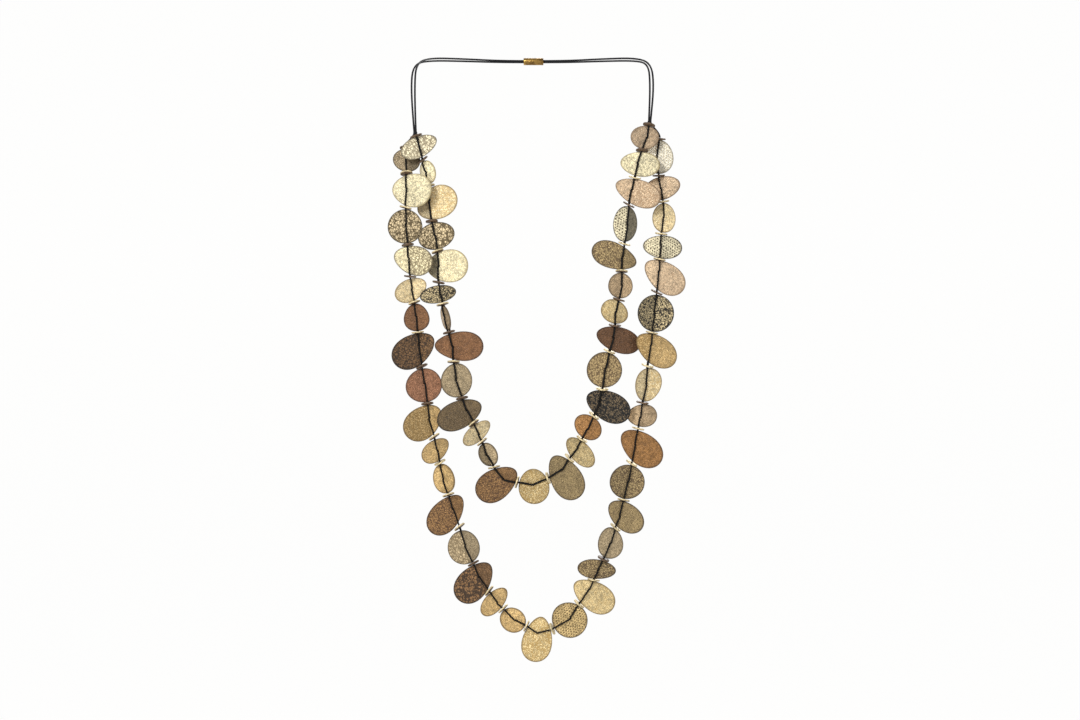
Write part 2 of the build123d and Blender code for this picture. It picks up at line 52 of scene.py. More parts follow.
# %% Camera
STRANDS_FORWARD = 0.105
CAMERA_LENS = 75.76
CAMERA_AWAY = 1.5
CAMERA_ASIDE = 0.0046
CAMERA_LEVEL = -0.211


def new_object(name, data):
    thing = bpy.data.objects.new(name, data)
    bpy.context.scene.collection.objects.link(thing)
    return thing


camera = new_object("camera", bpy.data.cameras.new("camera"))
camera.data.lens = CAMERA_LENS
camera.location = (CAMERA_ASIDE, -STRANDS_FORWARD - CAMERA_AWAY, CAMERA_LEVEL)
camera.rotation_euler = (math.pi / 2, 0, 0)
bpy.context.scene.camera = camera
print("camera at:", camera.location[:])

# %% [markdown]
# A product picture needs a pale floor that turns up into a pale wall with no visible corner. One
# sheet does both: the far edge of a floor is pulled up, and a bevel rounds the corner. It lies
# well below and behind the necklace, so the sides and the back can be looked at as well.

# %% Floor and backdrop
FLOOR_LEVEL = -1.15
STAGE_HALF = 4.0
WALL_HIGH = 5.0
CORNER_ROUND = 1.2
CORNER_STEPS = 16
PAPER = {"Base Color": (0.08, 0.08, 0.08, 1), "Roughness": 0.9,
         "Emission Color": (1, 1, 0.995, 1), "Emission Strength": 0.92}


def give(node, inputs):
    """Sets or links each of a node's inputs that is named."""
    for socket, value in inputs.items():
        if isinstance(value, bpy.types.NodeSocket):
            node.id_data.links.new(value, node.inputs[socket])
        else:
            node.inputs[socket].default_value = value


def shader(name):
    """A new material, its node tree and its Principled BSDF."""
    material = bpy.data.materials.new(name)
    material.use_nodes = True
    return material, material.node_tree, material.node_tree.nodes["Principled BSDF"]


def mesh_from(bm, name):
    """Turns a bmesh into a mesh."""
    mesh = bpy.data.meshes.new(name)
    bm.to_mesh(mesh)
    bm.free()
    return mesh


def smooth_faces(bm):
    for face in bm.faces:
        face.smooth = True


def round_edges(bm, edges, offset, segments):
    bmesh.ops.bevel(bm, geom=edges, offset=offset, segments=segments, profile=0.5,
                    affect="EDGES", material=-1)


def pale_floor():
    bm = bmesh.new()
    bmesh.ops.create_grid(bm, x_segments=1, y_segments=1, size=STAGE_HALF)
    far = [edge for edge in bm.edges if all(vert.co.y > 0 for vert in edge.verts)]
    made = bmesh.ops.extrude_edge_only(bm, edges=far)["geom"]
    risen = [item for item in made if isinstance(item, bmesh.types.BMVert)]
    bmesh.ops.translate(bm, verts=risen, vec=(0, 0, WALL_HIGH))
    round_edges(bm, far, CORNER_ROUND, CORNER_STEPS)
    bmesh.ops.translate(bm, verts=bm.verts, vec=(0, 0, FLOOR_LEVEL))
    smooth_faces(bm)
    floor = new_object("floor", mesh_from(bm, "floor"))
    material, _, surface = shader("pale paper")
    give(surface, PAPER)
    floor.data.materials.append(material)
    print("floor faces:", len(floor.data.polygons))


pale_floor()

# %% [markdown]
# Foil on leather only sparkles when some directions are brighter than others. So one large soft
# lamp stands high on the left in front, a weaker one fills from the right, one lights the backs,
# and the sky around them is dimmer than the pale tone that the camera sees behind the necklace.

# %% Light
CENTRE = Vector((0.0, -STRANDS_FORWARD, -0.21))
SKY_TONE = (1.0, 0.99, 0.97, 1)
SKY_LIGHT = 0.46
SKY_SEEN = 0.96


def put(tree, kind, inputs=None, **settings):
    """Adds a node with its settings and inputs."""
    node = tree.nodes.new(kind)
    for setting, value in settings.items():
        setattr(node, setting, value)
    give(node, inputs or {})
    return node


def soft_lamp(name, place, size, power):
    """A square area lamp aimed at the necklace's middle."""
    lamp = new_object(name, bpy.data.lights.new(name, "AREA"))
    lamp.data.size = size
    lamp.data.energy = power
    lamp.location = place
    lamp.rotation_euler = (CENTRE - Vector(place)).to_track_quat("-Z", "Y").to_euler()


soft_lamp("key lamp", (-0.9, -1.5, 0.75), 0.55, 25.5)
soft_lamp("fill lamp", (1.3, -1.4, -0.1), 0.9, 7.6)
soft_lamp("back lamp", (0.5, 1.5, 0.9), 1.0, 22.0)

world = bpy.data.worlds.new("studio")
bpy.context.scene.world = world
world.use_nodes = True
sky = world.node_tree
lit = sky.nodes["Background"]
give(lit, {"Color": SKY_TONE, "Strength": SKY_LIGHT})
seen = put(sky, "ShaderNodeBackground", {"Strength": SKY_SEEN})
choice = put(sky, "ShaderNodeMixShader", {
    "Fac": put(sky, "ShaderNodeLightPath").outputs["Is Camera Ray"],
    1: lit.outputs["Background"], 2: seen.outputs["Background"]})
give(sky.nodes["World Output"], {"Surface": choice.outputs["Shader"]})
bpy.context.scene.view_settings.view_transform = "Standard"
print("lamps:", len(bpy.data.lights))

# %% [markdown]
# The sizes and the two charts are the ones that the CAD model is built from, in millimetres.
# Each row is a petal, from the top left round the bottom to the top right. Its columns are
# length and width as shares of a middling petal, where the narrow end points, how narrow it is,
# how far the shape lies inward and on from its hole, how the strand turns there, how the petal
# is turned and folded, how the washer after it is tipped, and any bare cord after it.

# %% Sizes and charts
MM = 0.001
PETAL = 24.0
LEATHER = 1.1
WASHER = 8.2
WASHER_THICK = 1.0
CORD = 1.0
KNOT = 3.2
KNOT_TALL = 2.2
TAIL_STRAIGHT = 2.7
NECK_DEPTH = 105.0
STRAND_DROP = 59.4
BARREL = 5.0
BARREL_LONG = 14.0
BARREL_BORE_DEEP = 3.0
BARREL_LEAD = 16.0
CORD_GAP = 0.1
EDGE_GAP = 0.1
SEAT_GAP = 0.2
BITE = 0.15
CORD_RADIUS = CORD / 2
SWAP = (CORD + CORD_GAP) / 2
FREE_HEIGHT = LEATHER / 2 + CORD_RADIUS + CORD_GAP
PRESSED_HEIGHT = LEATHER / 2 + CORD_RADIUS - BITE
SEARCH_STEPS = 30
FAR = 4 * PETAL

Petal = namedtuple("Petal", "long wide aim taper inward on turn yaw fold tip slack", defaults=[0.0])

OUTER = [Petal(*row) for row in (
    (0.77, 0.66, -107, 0.05, 0.01, 0.08, 0, 0, -6, 10),
    (1.11, 0.93, -98, 0.15, 0.15, 0.07, -5, 18, 6, 0, 0.5),
    (0.95, 0.95, 174, 0.04, -0.02, 0.06, 5, -8, 2, 8),
    (1.10, 0.80, -110, 0.18, 0.12, 0.07, 0, 14, 5, 0),
    (0.93, 0.61, 109, 0.10, -0.03, 0.02, 2, -8, 7, 6),
    (0.77, 0.71, 177, 0.15, 0.00, 0.02, -4, 10, -4, 0),
    (1.29, 0.87, 118, 0.18, -0.16, 0.17, 2, -6, 5, 9),
    (1.00, 0.94, -80, 0.05, -0.03, 0.05, -2, -7, 4, 10),
    (1.18, 0.86, 120, 0.15, -0.17, 0.07, 12, -9, 7, 8, 1.0),
    (0.88, 0.56, 118, 0.12, -0.06, -0.01, -4, 8, -6, -8),
    (0.83, 0.60, 177, 0.06, 0.01, -0.02, 5, 24, 12, 9),
    (1.29, 0.81, 122, 0.18, -0.23, 0.08, 4, -7, -9, 10, 1.0),
    (0.95, 0.89, 166, 0.05, -0.06, 0.04, 8, 10, -8, 9),
    (1.31, 0.86, 110, 0.20, -0.19, 0.05, 13, -6, -5, 11),
    (0.97, 0.52, 99, 0.08, -0.05, -0.07, 10, 7, 5, 8),
    (0.75, 0.65, 2, 0.00, -0.02, -0.05, 19, -10, 16, 6),
    (1.27, 0.82, 91, 0.24, -0.18, 0.07, 46, 5, 3, 10, 0.8),
    (1.00, 0.96, 100, 0.04, -0.02, -0.05, 28, -6, -4, 6),
    (1.29, 0.80, 86, 0.20, -0.21, -0.09, 9, 6, -6, 0),
    (1.06, 0.54, -69, 0.08, 0.06, 0.04, 3, -8, 8, 10),
    (0.88, 0.70, 24, 0.12, 0.00, 0.02, 6, 15, -9, 8),
    (1.12, 0.74, 68, 0.12, -0.15, 0.03, 10, -6, 7, -6),
    (0.95, 0.97, 12, 0.02, 0.02, 0.00, 2, 8, 5, 9),
    (1.32, 0.86, 62, 0.15, -0.18, -0.07, 0, -7, 4, 0, 1.4),
    (0.82, 0.63, 102, 0.12, -0.04, 0.05, 5, -12, -7, 6),
    (0.94, 0.72, 172, 0.10, -0.06, -0.02, 7, 12, 7, 9),
    (1.27, 0.80, 62, 0.14, -0.17, -0.11, 4, 12, -4, 0),
    (1.03, 1.00, 5, 0.00, -0.03, -0.03, 2, -6, 5, 8),
    (1.28, 0.80, 58, 0.18, -0.17, -0.14, 2, 7, 4, 0),
    (1.08, 0.64, 88, 0.10, -0.05, -0.06, 3, -5, 2, 6),
    (0.83, 0.65, 1, 0.00, -0.02, 0.00, 8, 12, -20, 9),
    (1.00, 0.65, -87, 0.05, -0.03, 0.01, 2, -14, 4, 9),
    (0.95, 0.77, 3, 0.10, -0.08, 0.04, -18, -6, 3, 8),
)]

INNER = [Petal(*row) for row in (
    (1.06, 0.58, 100, 0.12, -0.01, 0.17, -4, -9, 6, -8),
    (0.65, 0.44, 178, 0.00, 0.04, 0.01, -10, 50, -20, 5),
    (1.17, 0.90, -67, 0.12, 0.20, 0.09, 3, 13, -3, 8),
    (1.02, 0.75, 95, 0.03, 0.04, 0.01, -3, -9, 3, 8),
    (1.15, 0.90, -89, 0.15, 0.24, -0.01, -6, 14, 2, 5, 0.5),
    (1.00, 0.49, 90, 0.03, -0.06, -0.02, 6, -14, -6, 7),
    (0.70, 0.26, 0, 0.00, 0.00, 0.02, 0, 68, -8, 6),
    (1.35, 0.80, -100, 0.22, 0.18, 0.03, -12, 6, 4, 9),
    (0.95, 0.86, 161, 0.04, 0.02, 0.04, 12, -8, 6, 10),
    (1.30, 0.77, 90, 0.14, -0.22, 0.02, 8, -10, 5, 11),
    (0.94, 0.46, 108, 0.05, -0.04, -0.06, 0, 9, -6, 8),
    (0.68, 0.50, 0, 0.00, 0.06, 0.00, 14, -12, 42, 6),
    (1.29, 0.85, 68, 0.20, -0.21, -0.07, 36, 7, -5, 6, 1.1),
    (0.97, 0.85, 88, 0.08, -0.05, -0.01, 32, -5, 3, 10),
    (1.34, 0.86, 76, 0.20, -0.22, -0.08, 26, -7, -4, 11),
    (1.02, 0.56, 74, 0.05, -0.14, -0.08, 9, 8, 6, 10),
    (0.82, 0.64, 78, 0.03, 0.02, 0.05, 6, -9, -7, 10),
    (1.29, 0.82, 80, 0.15, -0.25, -0.05, 12, -8, 4, 10),
    (0.98, 0.98, 10, 0.03, 0.02, -0.05, -5, 8, 5, 10),
    (1.25, 0.70, 84, 0.12, -0.15, -0.03, 8, 12, -5, 10),
    (0.78, 0.64, -113, 0.08, 0.04, 0.00, -10, -9, 8, 0),
    (0.71, 0.68, 7, 0.03, 0.03, -0.03, 11, 20, -9, -10),
    (1.29, 0.72, -104, 0.20, 0.23, 0.00, -7, -6, 4, 6),
    (0.99, 0.66, 2, 0.00, 0.05, 0.00, 2, 12, -37, 8),
    (1.30, 0.72, 79, 0.18, -0.17, -0.05, 0, -14, 5, 11),
    (1.08, 0.68, 98, 0.10, -0.06, 0.00, -5, -12, 4, -12),
    (0.65, 0.78, -169, 0.06, 0.06, -0.01, 14, -8, -4, -12),
)]

OUTER_ROUTE = [
    (-84.2, 6.0, -11), (-83.6, 1.5, -30), (-84.0, -0.5, -52), (-81.0, 0.0, -97), (-78.3, 0.0, -114),
    (-73.2, 0.0, -157), (-69.4, 0.0, -182), (-61.2, 0.0, -220), (-55.6, 0.0, -241), (-38.8, 0.0, -287),
    (-27.4, 0.0, -306), (-17.0, 0.0, -318), (-1.6, 0.0, -328), (14.6, 0.0, -328), (32.0, 0.0, -310),
    (47.6, 0.0, -280), (60.2, 0.0, -242), (70.0, 0.0, -193), (76.0, 0.0, -152), (81.8, 0.0, -105),
    (84.6, 0.0, -68), (86.0, 2.5, -48), (83.2, 4.5, -30), (83.8, 6.0, -5),
]
INNER_ROUTE = [
    (-76.6, 0.0, -3.5), (-72.2, 0.5, -20), (-68.5, 1.5, -35), (-66.2, 0.5, -61), (-62.3, 0.0, -81),
    (-61.6, 0.0, -102), (-54.9, 0.0, -133), (-52.0, 0.0, -152), (-46.0, 0.0, -177), (-37.8, 0.0, -194),
    (-24.0, 0.0, -223), (-10.5, 0.0, -230.5), (9.5, 0.0, -228), (24.5, 0.0, -214), (39.0, 0.0, -189),
    (45.0, 0.0, -171), (49.8, 0.0, -146), (55.0, 0.0, -120), (58.0, 0.0, -93), (62.6, 0.0, -50),
    (66.4, 0.0, -32), (71.2, 0.0, -14), (76.0, 0.0, 3.5),
]
NECK_ROUTE = [
    (1.02, 0.996, 0.50, 2.5), (1.01, 0.865, 0.23, 2.4), (0.91, 0.53, 0.10, 2.0),
    (0.61, 0.16, 0.025, 1.6),
]
OUTER_STRETCHES = (5, 5, 4, 3, 3, 5, 4, 4)
INNER_STRETCHES = (5, 4, 3, 2, 3, 4, 3, 3)
OUTER_JOINED = {1, 5, 6, 10, 11, 15, 16, 21, 25, 31}
INNER_JOINED = {2, 6, 7, 11, 12, 16, 17, 21, 22, 27}
print("petals:", len(OUTER), "and", len(INNER))

# %% [markdown]
# Where a petal hangs follows from stringing it: the strand enters it at one edge, goes through
# its hole and leaves at the other edge, and a washer needs room before the next edge. First the
# flat egg shape. Its edge is found by halving, as one would feel for it with a ruler.

# %% The flat egg shape and its edge
def polar(angle, distance=1.0):
    return Vector((math.cos(math.radians(angle)), math.sin(math.radians(angle)))) * distance


def turned(point, angle):
    c, s = polar(angle)
    return Vector((point[0] * c - point[1] * s, point[0] * s + point[1] * c))


def is_inside(petal, point):
    """Whether a flat point lies on the petal, with its hole at (0, 0) and the strand along +X."""
    u, v = turned(point - Vector((petal.on, petal.inward)) * PETAL, -petal.aim)
    share = u / (petal.long * PETAL / 2)
    if abs(share) >= 1:
        return False
    return abs(v) < petal.wide * PETAL / 2 * math.sqrt(1 - share * share) * (1 - petal.taper * share)


def edge(petal, heading, side):
    """How far the petal reaches along a heading from its hole, at a distance to the left of it."""
    ahead, left = polar(heading), polar(heading + 90) * side
    far = FAR
    while far > -FAR and not is_inside(petal, ahead * far + left):
        far -= EDGE_GAP
    near, far = far, far + EDGE_GAP
    for _ in range(SEARCH_STEPS):
        middle = (near + far) / 2
        near, far = (middle, far) if is_inside(petal, ahead * middle + left) else (near, middle)
    return near


def heading_of(petal, way):
    """Where the strand heads on a petal, from the hole to its exit (1) or its entry (-1)."""
    return petal.turn / 2 if way > 0 else 180 - petal.turn / 2


def run_on(petal, way):
    """How far the strand runs on a petal, from the hole to its exit or its entry."""
    return edge(petal, heading_of(petal, way), 0)


def edge_past(petal, way, sideways):
    """How far the petal's edge runs past the strand's exit or entry, so far inward of it."""
    return edge(petal, heading_of(petal, way), way * sideways) - run_on(petal, way)


def chord(petal):
    """The strand's entry and exit on the flat petal."""
    return [polar(heading_of(petal, way), run_on(petal, way)) for way in (-1, 1)]


# %% [markdown]
# A washer lies between two curved edges, so it leans with them and keeps both edges clear. Its
# seat says how much of the strand it takes before and after its middle.

# %% The washers' seats
Seat = namedtuple("Seat", "before after slope tip")


def seat_between(before, after, tip, slack, bend):
    """The room that a washer needs after one petal and before the next, either of them None."""
    reach = WASHER / 2
    lean = math.tan(math.radians(bend / 2))
    places = [reach * n / 4 for n in range(-4, 5)]
    sides = [([edge_past(petal, way, s) + lean * s for s in places] if petal else None, way)
             for petal, way in ((before, 1), (after, -1))]
    slope = sum(way * (edges[-1] - edges[0]) / WASHER / 2 for edges, way in sides if edges)
    leans = [abs(petal.yaw) + abs(petal.fold) for petal in (before, after) if petal]
    thick = LEATHER / 2 + reach * math.sin(math.radians(max(leans)))
    half = WASHER_THICK / 2 * math.hypot(1, slope) + EDGE_GAP + slack / 2
    half += abs(math.sin(math.radians(tip))) * thick
    room = [half + max(ahead - way * slope * s for ahead, s in zip(edges, places)) if edges else 0.0
            for edges, way in sides]
    return Seat(*room, slope, tip)


def washer_seats(petals, bends):
    """The seats of a strand's washers, one more than its petals."""
    seats = [seat_between(None, petals[0], 0.0, 0.0, 0.0)]
    for this, after, bend in zip(petals, petals[1:] + [None], bends + [0.0]):
        seats.append(seat_between(this, after, this.tip, this.slack, bend))
    return seats


# %% [markdown]
# Now the strand is laid along its route. The route is a smooth line through a few chosen points,
# and its size follows from the length of all that is strung on it, as on the real necklace.

# %% Lay each petal on its strand
Placed = namedtuple("Placed", "petal hole along inward forward")
TO_VIEWER = Vector((0.0, -1.0, 0.0))


def spline_points(points, steps=16):
    """A smooth line through chosen points, as many short runs."""
    points = [Vector(point) for point in points]
    padded = [2 * points[0] - points[1]] + points + [2 * points[-1] - points[-2]]
    line = []
    for p, q, r, s in zip(padded, padded[1:], padded[2:], padded[3:]):
        for n in range(steps):
            t = n / steps
            cubic = (2 * p - 5 * q + 4 * r - s) * t ** 2 + (3 * q - p - 3 * r + s) * t ** 3
            line.append(0.5 * (2 * q + (r - p) * t + cubic))
    return line + [points[-1]]


def lengths_along(line):
    total = [0.0]
    for a, b in zip(line, line[1:]):
        total.append(total[-1] + (b - a).length)
    return total


def point_at(line, totals, distance):
    """The point of a line at a distance along it."""
    distance = min(max(distance, 0.0), totals[-1])
    n = max(k for k in range(len(totals) - 1) if totals[k] <= distance)
    return line[n].lerp(line[n + 1], (distance - totals[n]) / (totals[n + 1] - totals[n]))


def strand_line(route, length):
    """A route scaled to the strand's length about the middle of level zero, in its real place."""
    line = spline_points(route)
    scale = length / lengths_along(line)[-1]
    return [Vector((x * scale, y - NECK_DEPTH, z * scale - STRAND_DROP)) for x, y, z in line]


def frame_along(direction):
    along = direction.normalized()
    forward = (TO_VIEWER - along * TO_VIEWER.dot(along)).normalized()
    return along, forward.cross(along), forward


def place_petal(petal, start, end):
    """Puts a petal so that the strand enters it at start and leaves it at end."""
    came, left = chord(petal)
    along, inward, forward = frame_along(end - start)
    c, s = polar(-math.degrees(math.atan2(left[1] - came[1], left[0] - came[0])))
    own_along = along * c + inward * s
    own_inward = inward * c - along * s
    hole = start - own_along * came[0] - own_inward * came[1]
    return Placed(petal, hole, own_along, own_inward, forward)


def run_heading(place, way):
    """The direction of the strand in the view from the front, onto (-1) or off (+1) a petal."""
    c, s = polar(way * place.petal.turn / 2)
    run = place.along * c + place.inward * s
    return math.degrees(math.atan2(run[2], run[0]))


def left_over_bends(placed):
    """How far the strand still turns left at each washer between two petals."""
    return [(run_heading(after, -1) - run_heading(this, 1) + 180) % 360 - 180
            for this, after in zip(placed, placed[1:])]


def place_with(petals, seats, route):
    """All petals of a strand and the middles of its washers, in their places."""
    runs = [(left - came).length for came, left in map(chord, petals)]
    line = strand_line(route, sum(runs) + sum(seat.before + seat.after for seat in seats))
    totals = lengths_along(line)
    placed, middles, distance = [], [line[0]], seats[0].after
    for petal, run, seat in zip(petals, runs, seats[1:]):
        start, end = point_at(line, totals, distance), point_at(line, totals, distance + run)
        placed.append(place_petal(petal, start, end))
        middles.append(point_at(line, totals, distance + run + seat.before))
        distance += run + seat.before + seat.after
    print("strand length in mm:", round(totals[-1], 1))
    return placed, middles


# %% [markdown]
# Each of the two cords lies on one face of a petal up to its hole and on the other face after
# it, and the two swap there. So a stretch of cord is four points a petal, and two more close to
# the hole keep the smooth curve on the leather until it dives through.

# %% The cords' ways over the petals
CLOSE_TO_HOLE = 2.0
BESIDE_HOLE = 0.25
Strand = namedtuple("Strand", "name placed middles axes runs joined stretches")


def in_space(place, on, sideways, height, lean):
    """The point over a petal's fold, given its place along, inward and off the leather."""
    c, s = polar(lean)
    across = place.inward * c + place.forward * s
    off = place.forward * c - place.inward * s
    return place.hole + place.along * on + across * sideways + off * height


def cord_over(place, cord, sign, height):
    """The points of one cord across one petal, where it swaps from one face to the other."""
    petal = place.petal
    rise = height / math.cos(math.radians(petal.fold))
    lift = BESIDE_HOLE * math.tan(math.radians(abs(petal.fold)))
    side = BESIDE_HOLE if cord == 0 else -BESIDE_HOLE
    ends, near = [], []
    for way in (-1, 1):
        past = EDGE_GAP + max(edge_past(petal, way, s) for s in (-CORD, 0, CORD))
        on, sideways = polar(heading_of(petal, way), run_on(petal, way) + past)
        lean = petal.yaw + (petal.fold if sideways > 0 else -petal.fold)
        base = in_space(place, on, sideways / math.cos(math.radians(lean)), 0, lean)
        face = -way * sign
        ends.append(base + in_space(place, 0, 0, face * rise, petal.yaw) - place.hole)
        near.append(in_space(place, way * CORD / 2, side, face * (rise + lift), petal.yaw))
    close = [swap.lerp(end, CLOSE_TO_HOLE / max((end - swap).length, 2 * CLOSE_TO_HOLE))
             for swap, end in zip(near, ends)]
    return [ends[0], close[0], near[0], near[1], close[1], ends[1]]


def washer_axis(before, after, seat):
    """The axis of a washer: along the strand, turned by its slope and tip."""
    along, inward, forward = frame_along(after - before)
    leaned = (along - inward * seat.slope).normalized()
    return (leaned + forward * math.tan(math.radians(seat.tip))).normalized()


def lay_strand(name, petals, route, joined, stretches):
    """Places a strand twice, so that its washers allow for the bends that the first try shows."""
    placed, _ = place_with(petals, washer_seats(petals, [0.0] * (len(petals) - 1)), route)
    seats = washer_seats(petals, left_over_bends(placed))
    placed, middles = place_with(petals, seats, route)
    holes = [place.hole for place in placed]
    ends = zip([middles[0]] + holes, holes + [middles[-1]], seats)
    axes = [washer_axis(before, after, seat) for before, after, seat in ends]
    runs = [[], []]
    for n, place in enumerate(placed):
        height = PRESSED_HEIGHT if n + 1 in joined else FREE_HEIGHT
        for cord in (0, 1):
            runs[cord].append(cord_over(place, cord, 1 if (n + cord) % 2 == 0 else -1, height))
    return Strand(name, placed, middles, axes, runs, joined, stretches)


outer = lay_strand("outer", OUTER, OUTER_ROUTE, OUTER_JOINED, OUTER_STRETCHES)
inner = lay_strand("inner", INNER, INNER_ROUTE, INNER_JOINED, INNER_STRETCHES)

# %% [markdown]
# Metallic leather is a hide with an embossed grain and a thin foil on top. The foil is rubbed
# off in places, the creases keep the hide's darker colour, and the cut edge and the back are
# bare. The front is also painted darker towards its rim, partly as the bare cut edge and partly as
# painted shade where the edge rolls away, and the foil's fine specks are partly its uneven tone and
# partly painted sparkle. Three effects are shared by all these leathers, so each is a node group
# with named sockets: the fine grain, the rubbed foil, and the bare edge and back with the painted
# rim shade.

# %% Helpers for leather and cord
SIGNS = {"+": "ADD", "-": "SUBTRACT", "*": "MULTIPLY"}
COLOUR_SOCKETS = {"Color", "Foil", "Hide", "Edge", "Suede"}
# The colour sockets of the mixing node, which share their names with its other sockets
MIX_A, MIX_B, MIX_RESULT = 6, 7, 2


def colour(code):
    """A colour from its usual six signs, as Blender's nodes want it."""
    shares = [int(code[n:n + 2], 16) / 255 for n in (0, 2, 4)]
    return tuple(s / 12.92 if s < 0.04 else ((s + 0.055) / 1.055) ** 2.4 for s in shares) + (1.0,)


def reckon(tree, a, sign, b, clamp=False):
    """A sum of two values or sockets."""
    node = put(tree, "ShaderNodeMath", {0: a, 1: b}, operation=SIGNS[sign], use_clamp=clamp)
    return node.outputs[0]


def blend(tree, share, a, b, kind="MIX"):
    """A mixed colour: a where share is 0 and b where it is 1."""
    inputs = {"Factor": share, MIX_A: a, MIX_B: b}
    return put(tree, "ShaderNodeMix", inputs, data_type="RGBA", blend_type=kind).outputs[MIX_RESULT]


def span(tree, value, low, high, to_low=0.0, to_high=1.0):
    """The value eased from one range to another."""
    inputs = {"Value": value, "From Min": low, "From Max": high, "To Min": to_low, "To Max": to_high}
    return put(tree, "ShaderNodeMapRange", inputs, interpolation_type="SMOOTHSTEP").outputs["Result"]


def own_place(tree):
    return put(tree, "ShaderNodeTexCoord").outputs["Object"]


def clouds(tree, scale, detail=3.0):
    """Soft random patches, more of them with a larger scale."""
    inputs = {"Vector": own_place(tree), "Scale": scale, "Detail": detail}
    return put(tree, "ShaderNodeTexNoise", inputs).outputs["Fac"]


def bumped(tree, height, deep, strength=0.8):
    """The normals of a surface whose relief is so many millimetres deep."""
    inputs = {"Height": height, "Distance": deep * MM, "Strength": strength}
    return put(tree, "ShaderNodeBump", inputs).outputs["Normal"]


def group(name, inputs, outputs):
    """An empty node group: its tree, what comes in, and the node where its outputs leave."""
    tree = bpy.data.node_groups.new(name, "ShaderNodeTree")
    for way, sockets in (("INPUT", inputs), ("OUTPUT", outputs)):
        for socket in sockets.split():
            kind = "NodeSocketColor" if socket in COLOUR_SOCKETS else "NodeSocketFloat"
            tree.interface.new_socket(name=socket, in_out=way, socket_type=kind)
    return tree, put(tree, "NodeGroupInput").outputs, put(tree, "NodeGroupOutput")


def place_group(tree, grouped, inputs):
    """Puts a group into a material, and gives its outputs."""
    return put(tree, "ShaderNodeGroup", inputs, node_tree=grouped).outputs


# %% The three effects
CREASE_WIDE = 0.22
HAIRS = 3800.0
HAIR_HIGH = 0.35
CREASE_DEEP = 0.22
SPECKS = 700.0
PATCHES = 190.0
FIBRES = 900.0
RIM_SHADE = 0.75
RIM_BARE = 0.8
# Where a value starts and ends, and what that is eased to, or else from 0 to 1
WORN_SPECKS = (0.42, 0.62)
FOILED_HEIGHT = (0.05, 0.75)
# The fine specks brighten and darken the foil: partly its uneven tone, partly painted sparkle
SPECK_TONE_AND_SPARKLE = (0.38, 0.62, 0.64, 1.3)
PATCH_SHADE = (0.3, 0.7, 0.84, 1.14)
FIBRE_SHADE = (0.3, 0.7, 0.8, 1.15)
FOIL_ROUGHNESS = (0.0, 1.0, 0.78, 0.42)


def fine_grain_group():
    """Small pores and creases between them, a fraction of a millimetre deep."""
    tree, given, wanted = group("fine grain", "Cells", "Height Crease")
    inputs = {"Vector": own_place(tree), "Scale": given["Cells"]}
    cells = put(tree, "ShaderNodeTexVoronoi", inputs, feature="DISTANCE_TO_EDGE")
    flat = span(tree, cells.outputs["Distance"], 0.0, CREASE_WIDE)
    rough = reckon(tree, clouds(tree, HAIRS, 2.0), "*", HAIR_HIGH)
    give(wanted, {"Height": reckon(tree, flat, "+", rough), "Crease": reckon(tree, 1.0, "-", flat)})
    return tree


def rubbed_foil_group():
    """Foil over hide: thin in the creases, patchy where it has been handled, uneven in tone, and with
    painted sparkle in its fine specks.
    """
    tree, given, wanted = group("rubbed foil", "Foil Hide Relief Crease Wear Tone", "Color Cover")
    speck = clouds(tree, SPECKS)
    worn = reckon(tree, span(tree, speck, *WORN_SPECKS), "*", given["Wear"])
    high = reckon(tree, given["Relief"], "-", reckon(tree, given["Crease"], "*", CREASE_DEEP))
    cover = reckon(tree, span(tree, high, *FOILED_HEIGHT), "-", worn, clamp=True)
    broad = span(tree, clouds(tree, PATCHES), *PATCH_SHADE)
    # Broad patches of uneven foil tone, times fine specks that are partly uneven foil and partly
    # painted sparkle
    tone_and_sparkle = reckon(tree, broad, "*", span(tree, speck, *SPECK_TONE_AND_SPARKLE))
    bright = blend(tree, 1.0, given["Foil"], tone_and_sparkle, "MULTIPLY")
    mixed = blend(tree, cover, given["Hide"], bright)
    # Last the colour is multiplied by a brightness that is partly the leather's own tone and partly
    # painted light and shade
    give(wanted, {"Color": blend(tree, 1.0, mixed, given["Tone"], "MULTIPLY"), "Cover": cover})
    return tree


def bare_and_shaded_edge_group():
    """Turns foil into the bare hide of the cut edge and the suede of the back, and paints shade on the
    front towards its rim.
    """
    tree, given, wanted = group(
        "bare and shaded edge", "Color Edge Suede Rim Back Cover", "Color Cover Roughness")
    fibre = span(tree, clouds(tree, FIBRES, 4.0), *FIBRE_SHADE)
    nap = blend(tree, 1.0, given["Suede"], fibre, "MULTIPLY")
    # Towards the rim the colour goes to the dark edge colour: the bare cut edge on the side wall, and
    # painted shade on the front where it rolls away
    rim_dark_and_shaded = blend(tree, reckon(tree, given["Rim"], "*", RIM_SHADE), given["Color"], given["Edge"])
    front = reckon(tree, 1.0, "-", given["Back"])
    foiled = reckon(tree, 1.0, "-", reckon(tree, given["Rim"], "*", RIM_BARE))
    kept = reckon(tree, reckon(tree, front, "*", foiled), "*", given["Cover"])
    give(wanted, {"Color": blend(tree, given["Back"], rim_dark_and_shaded, nap), "Cover": kept,
                  "Roughness": span(tree, kept, *FOIL_ROUGHNESS)})
    return tree


FINE_GRAIN = fine_grain_group()
RUBBED_FOIL = rubbed_foil_group()
BARE_AND_SHADED_EDGE = bare_and_shaded_edge_group()

# %% [markdown]
# A maker picks each petal from a stack of hides. The swatch book below names them, with the
# foil's colour, the hide's colour in the creases, how metallic the foil is, how much of it is
# rubbed off, and how fine the pores are. Last comes which of the record's leathers it counts as.

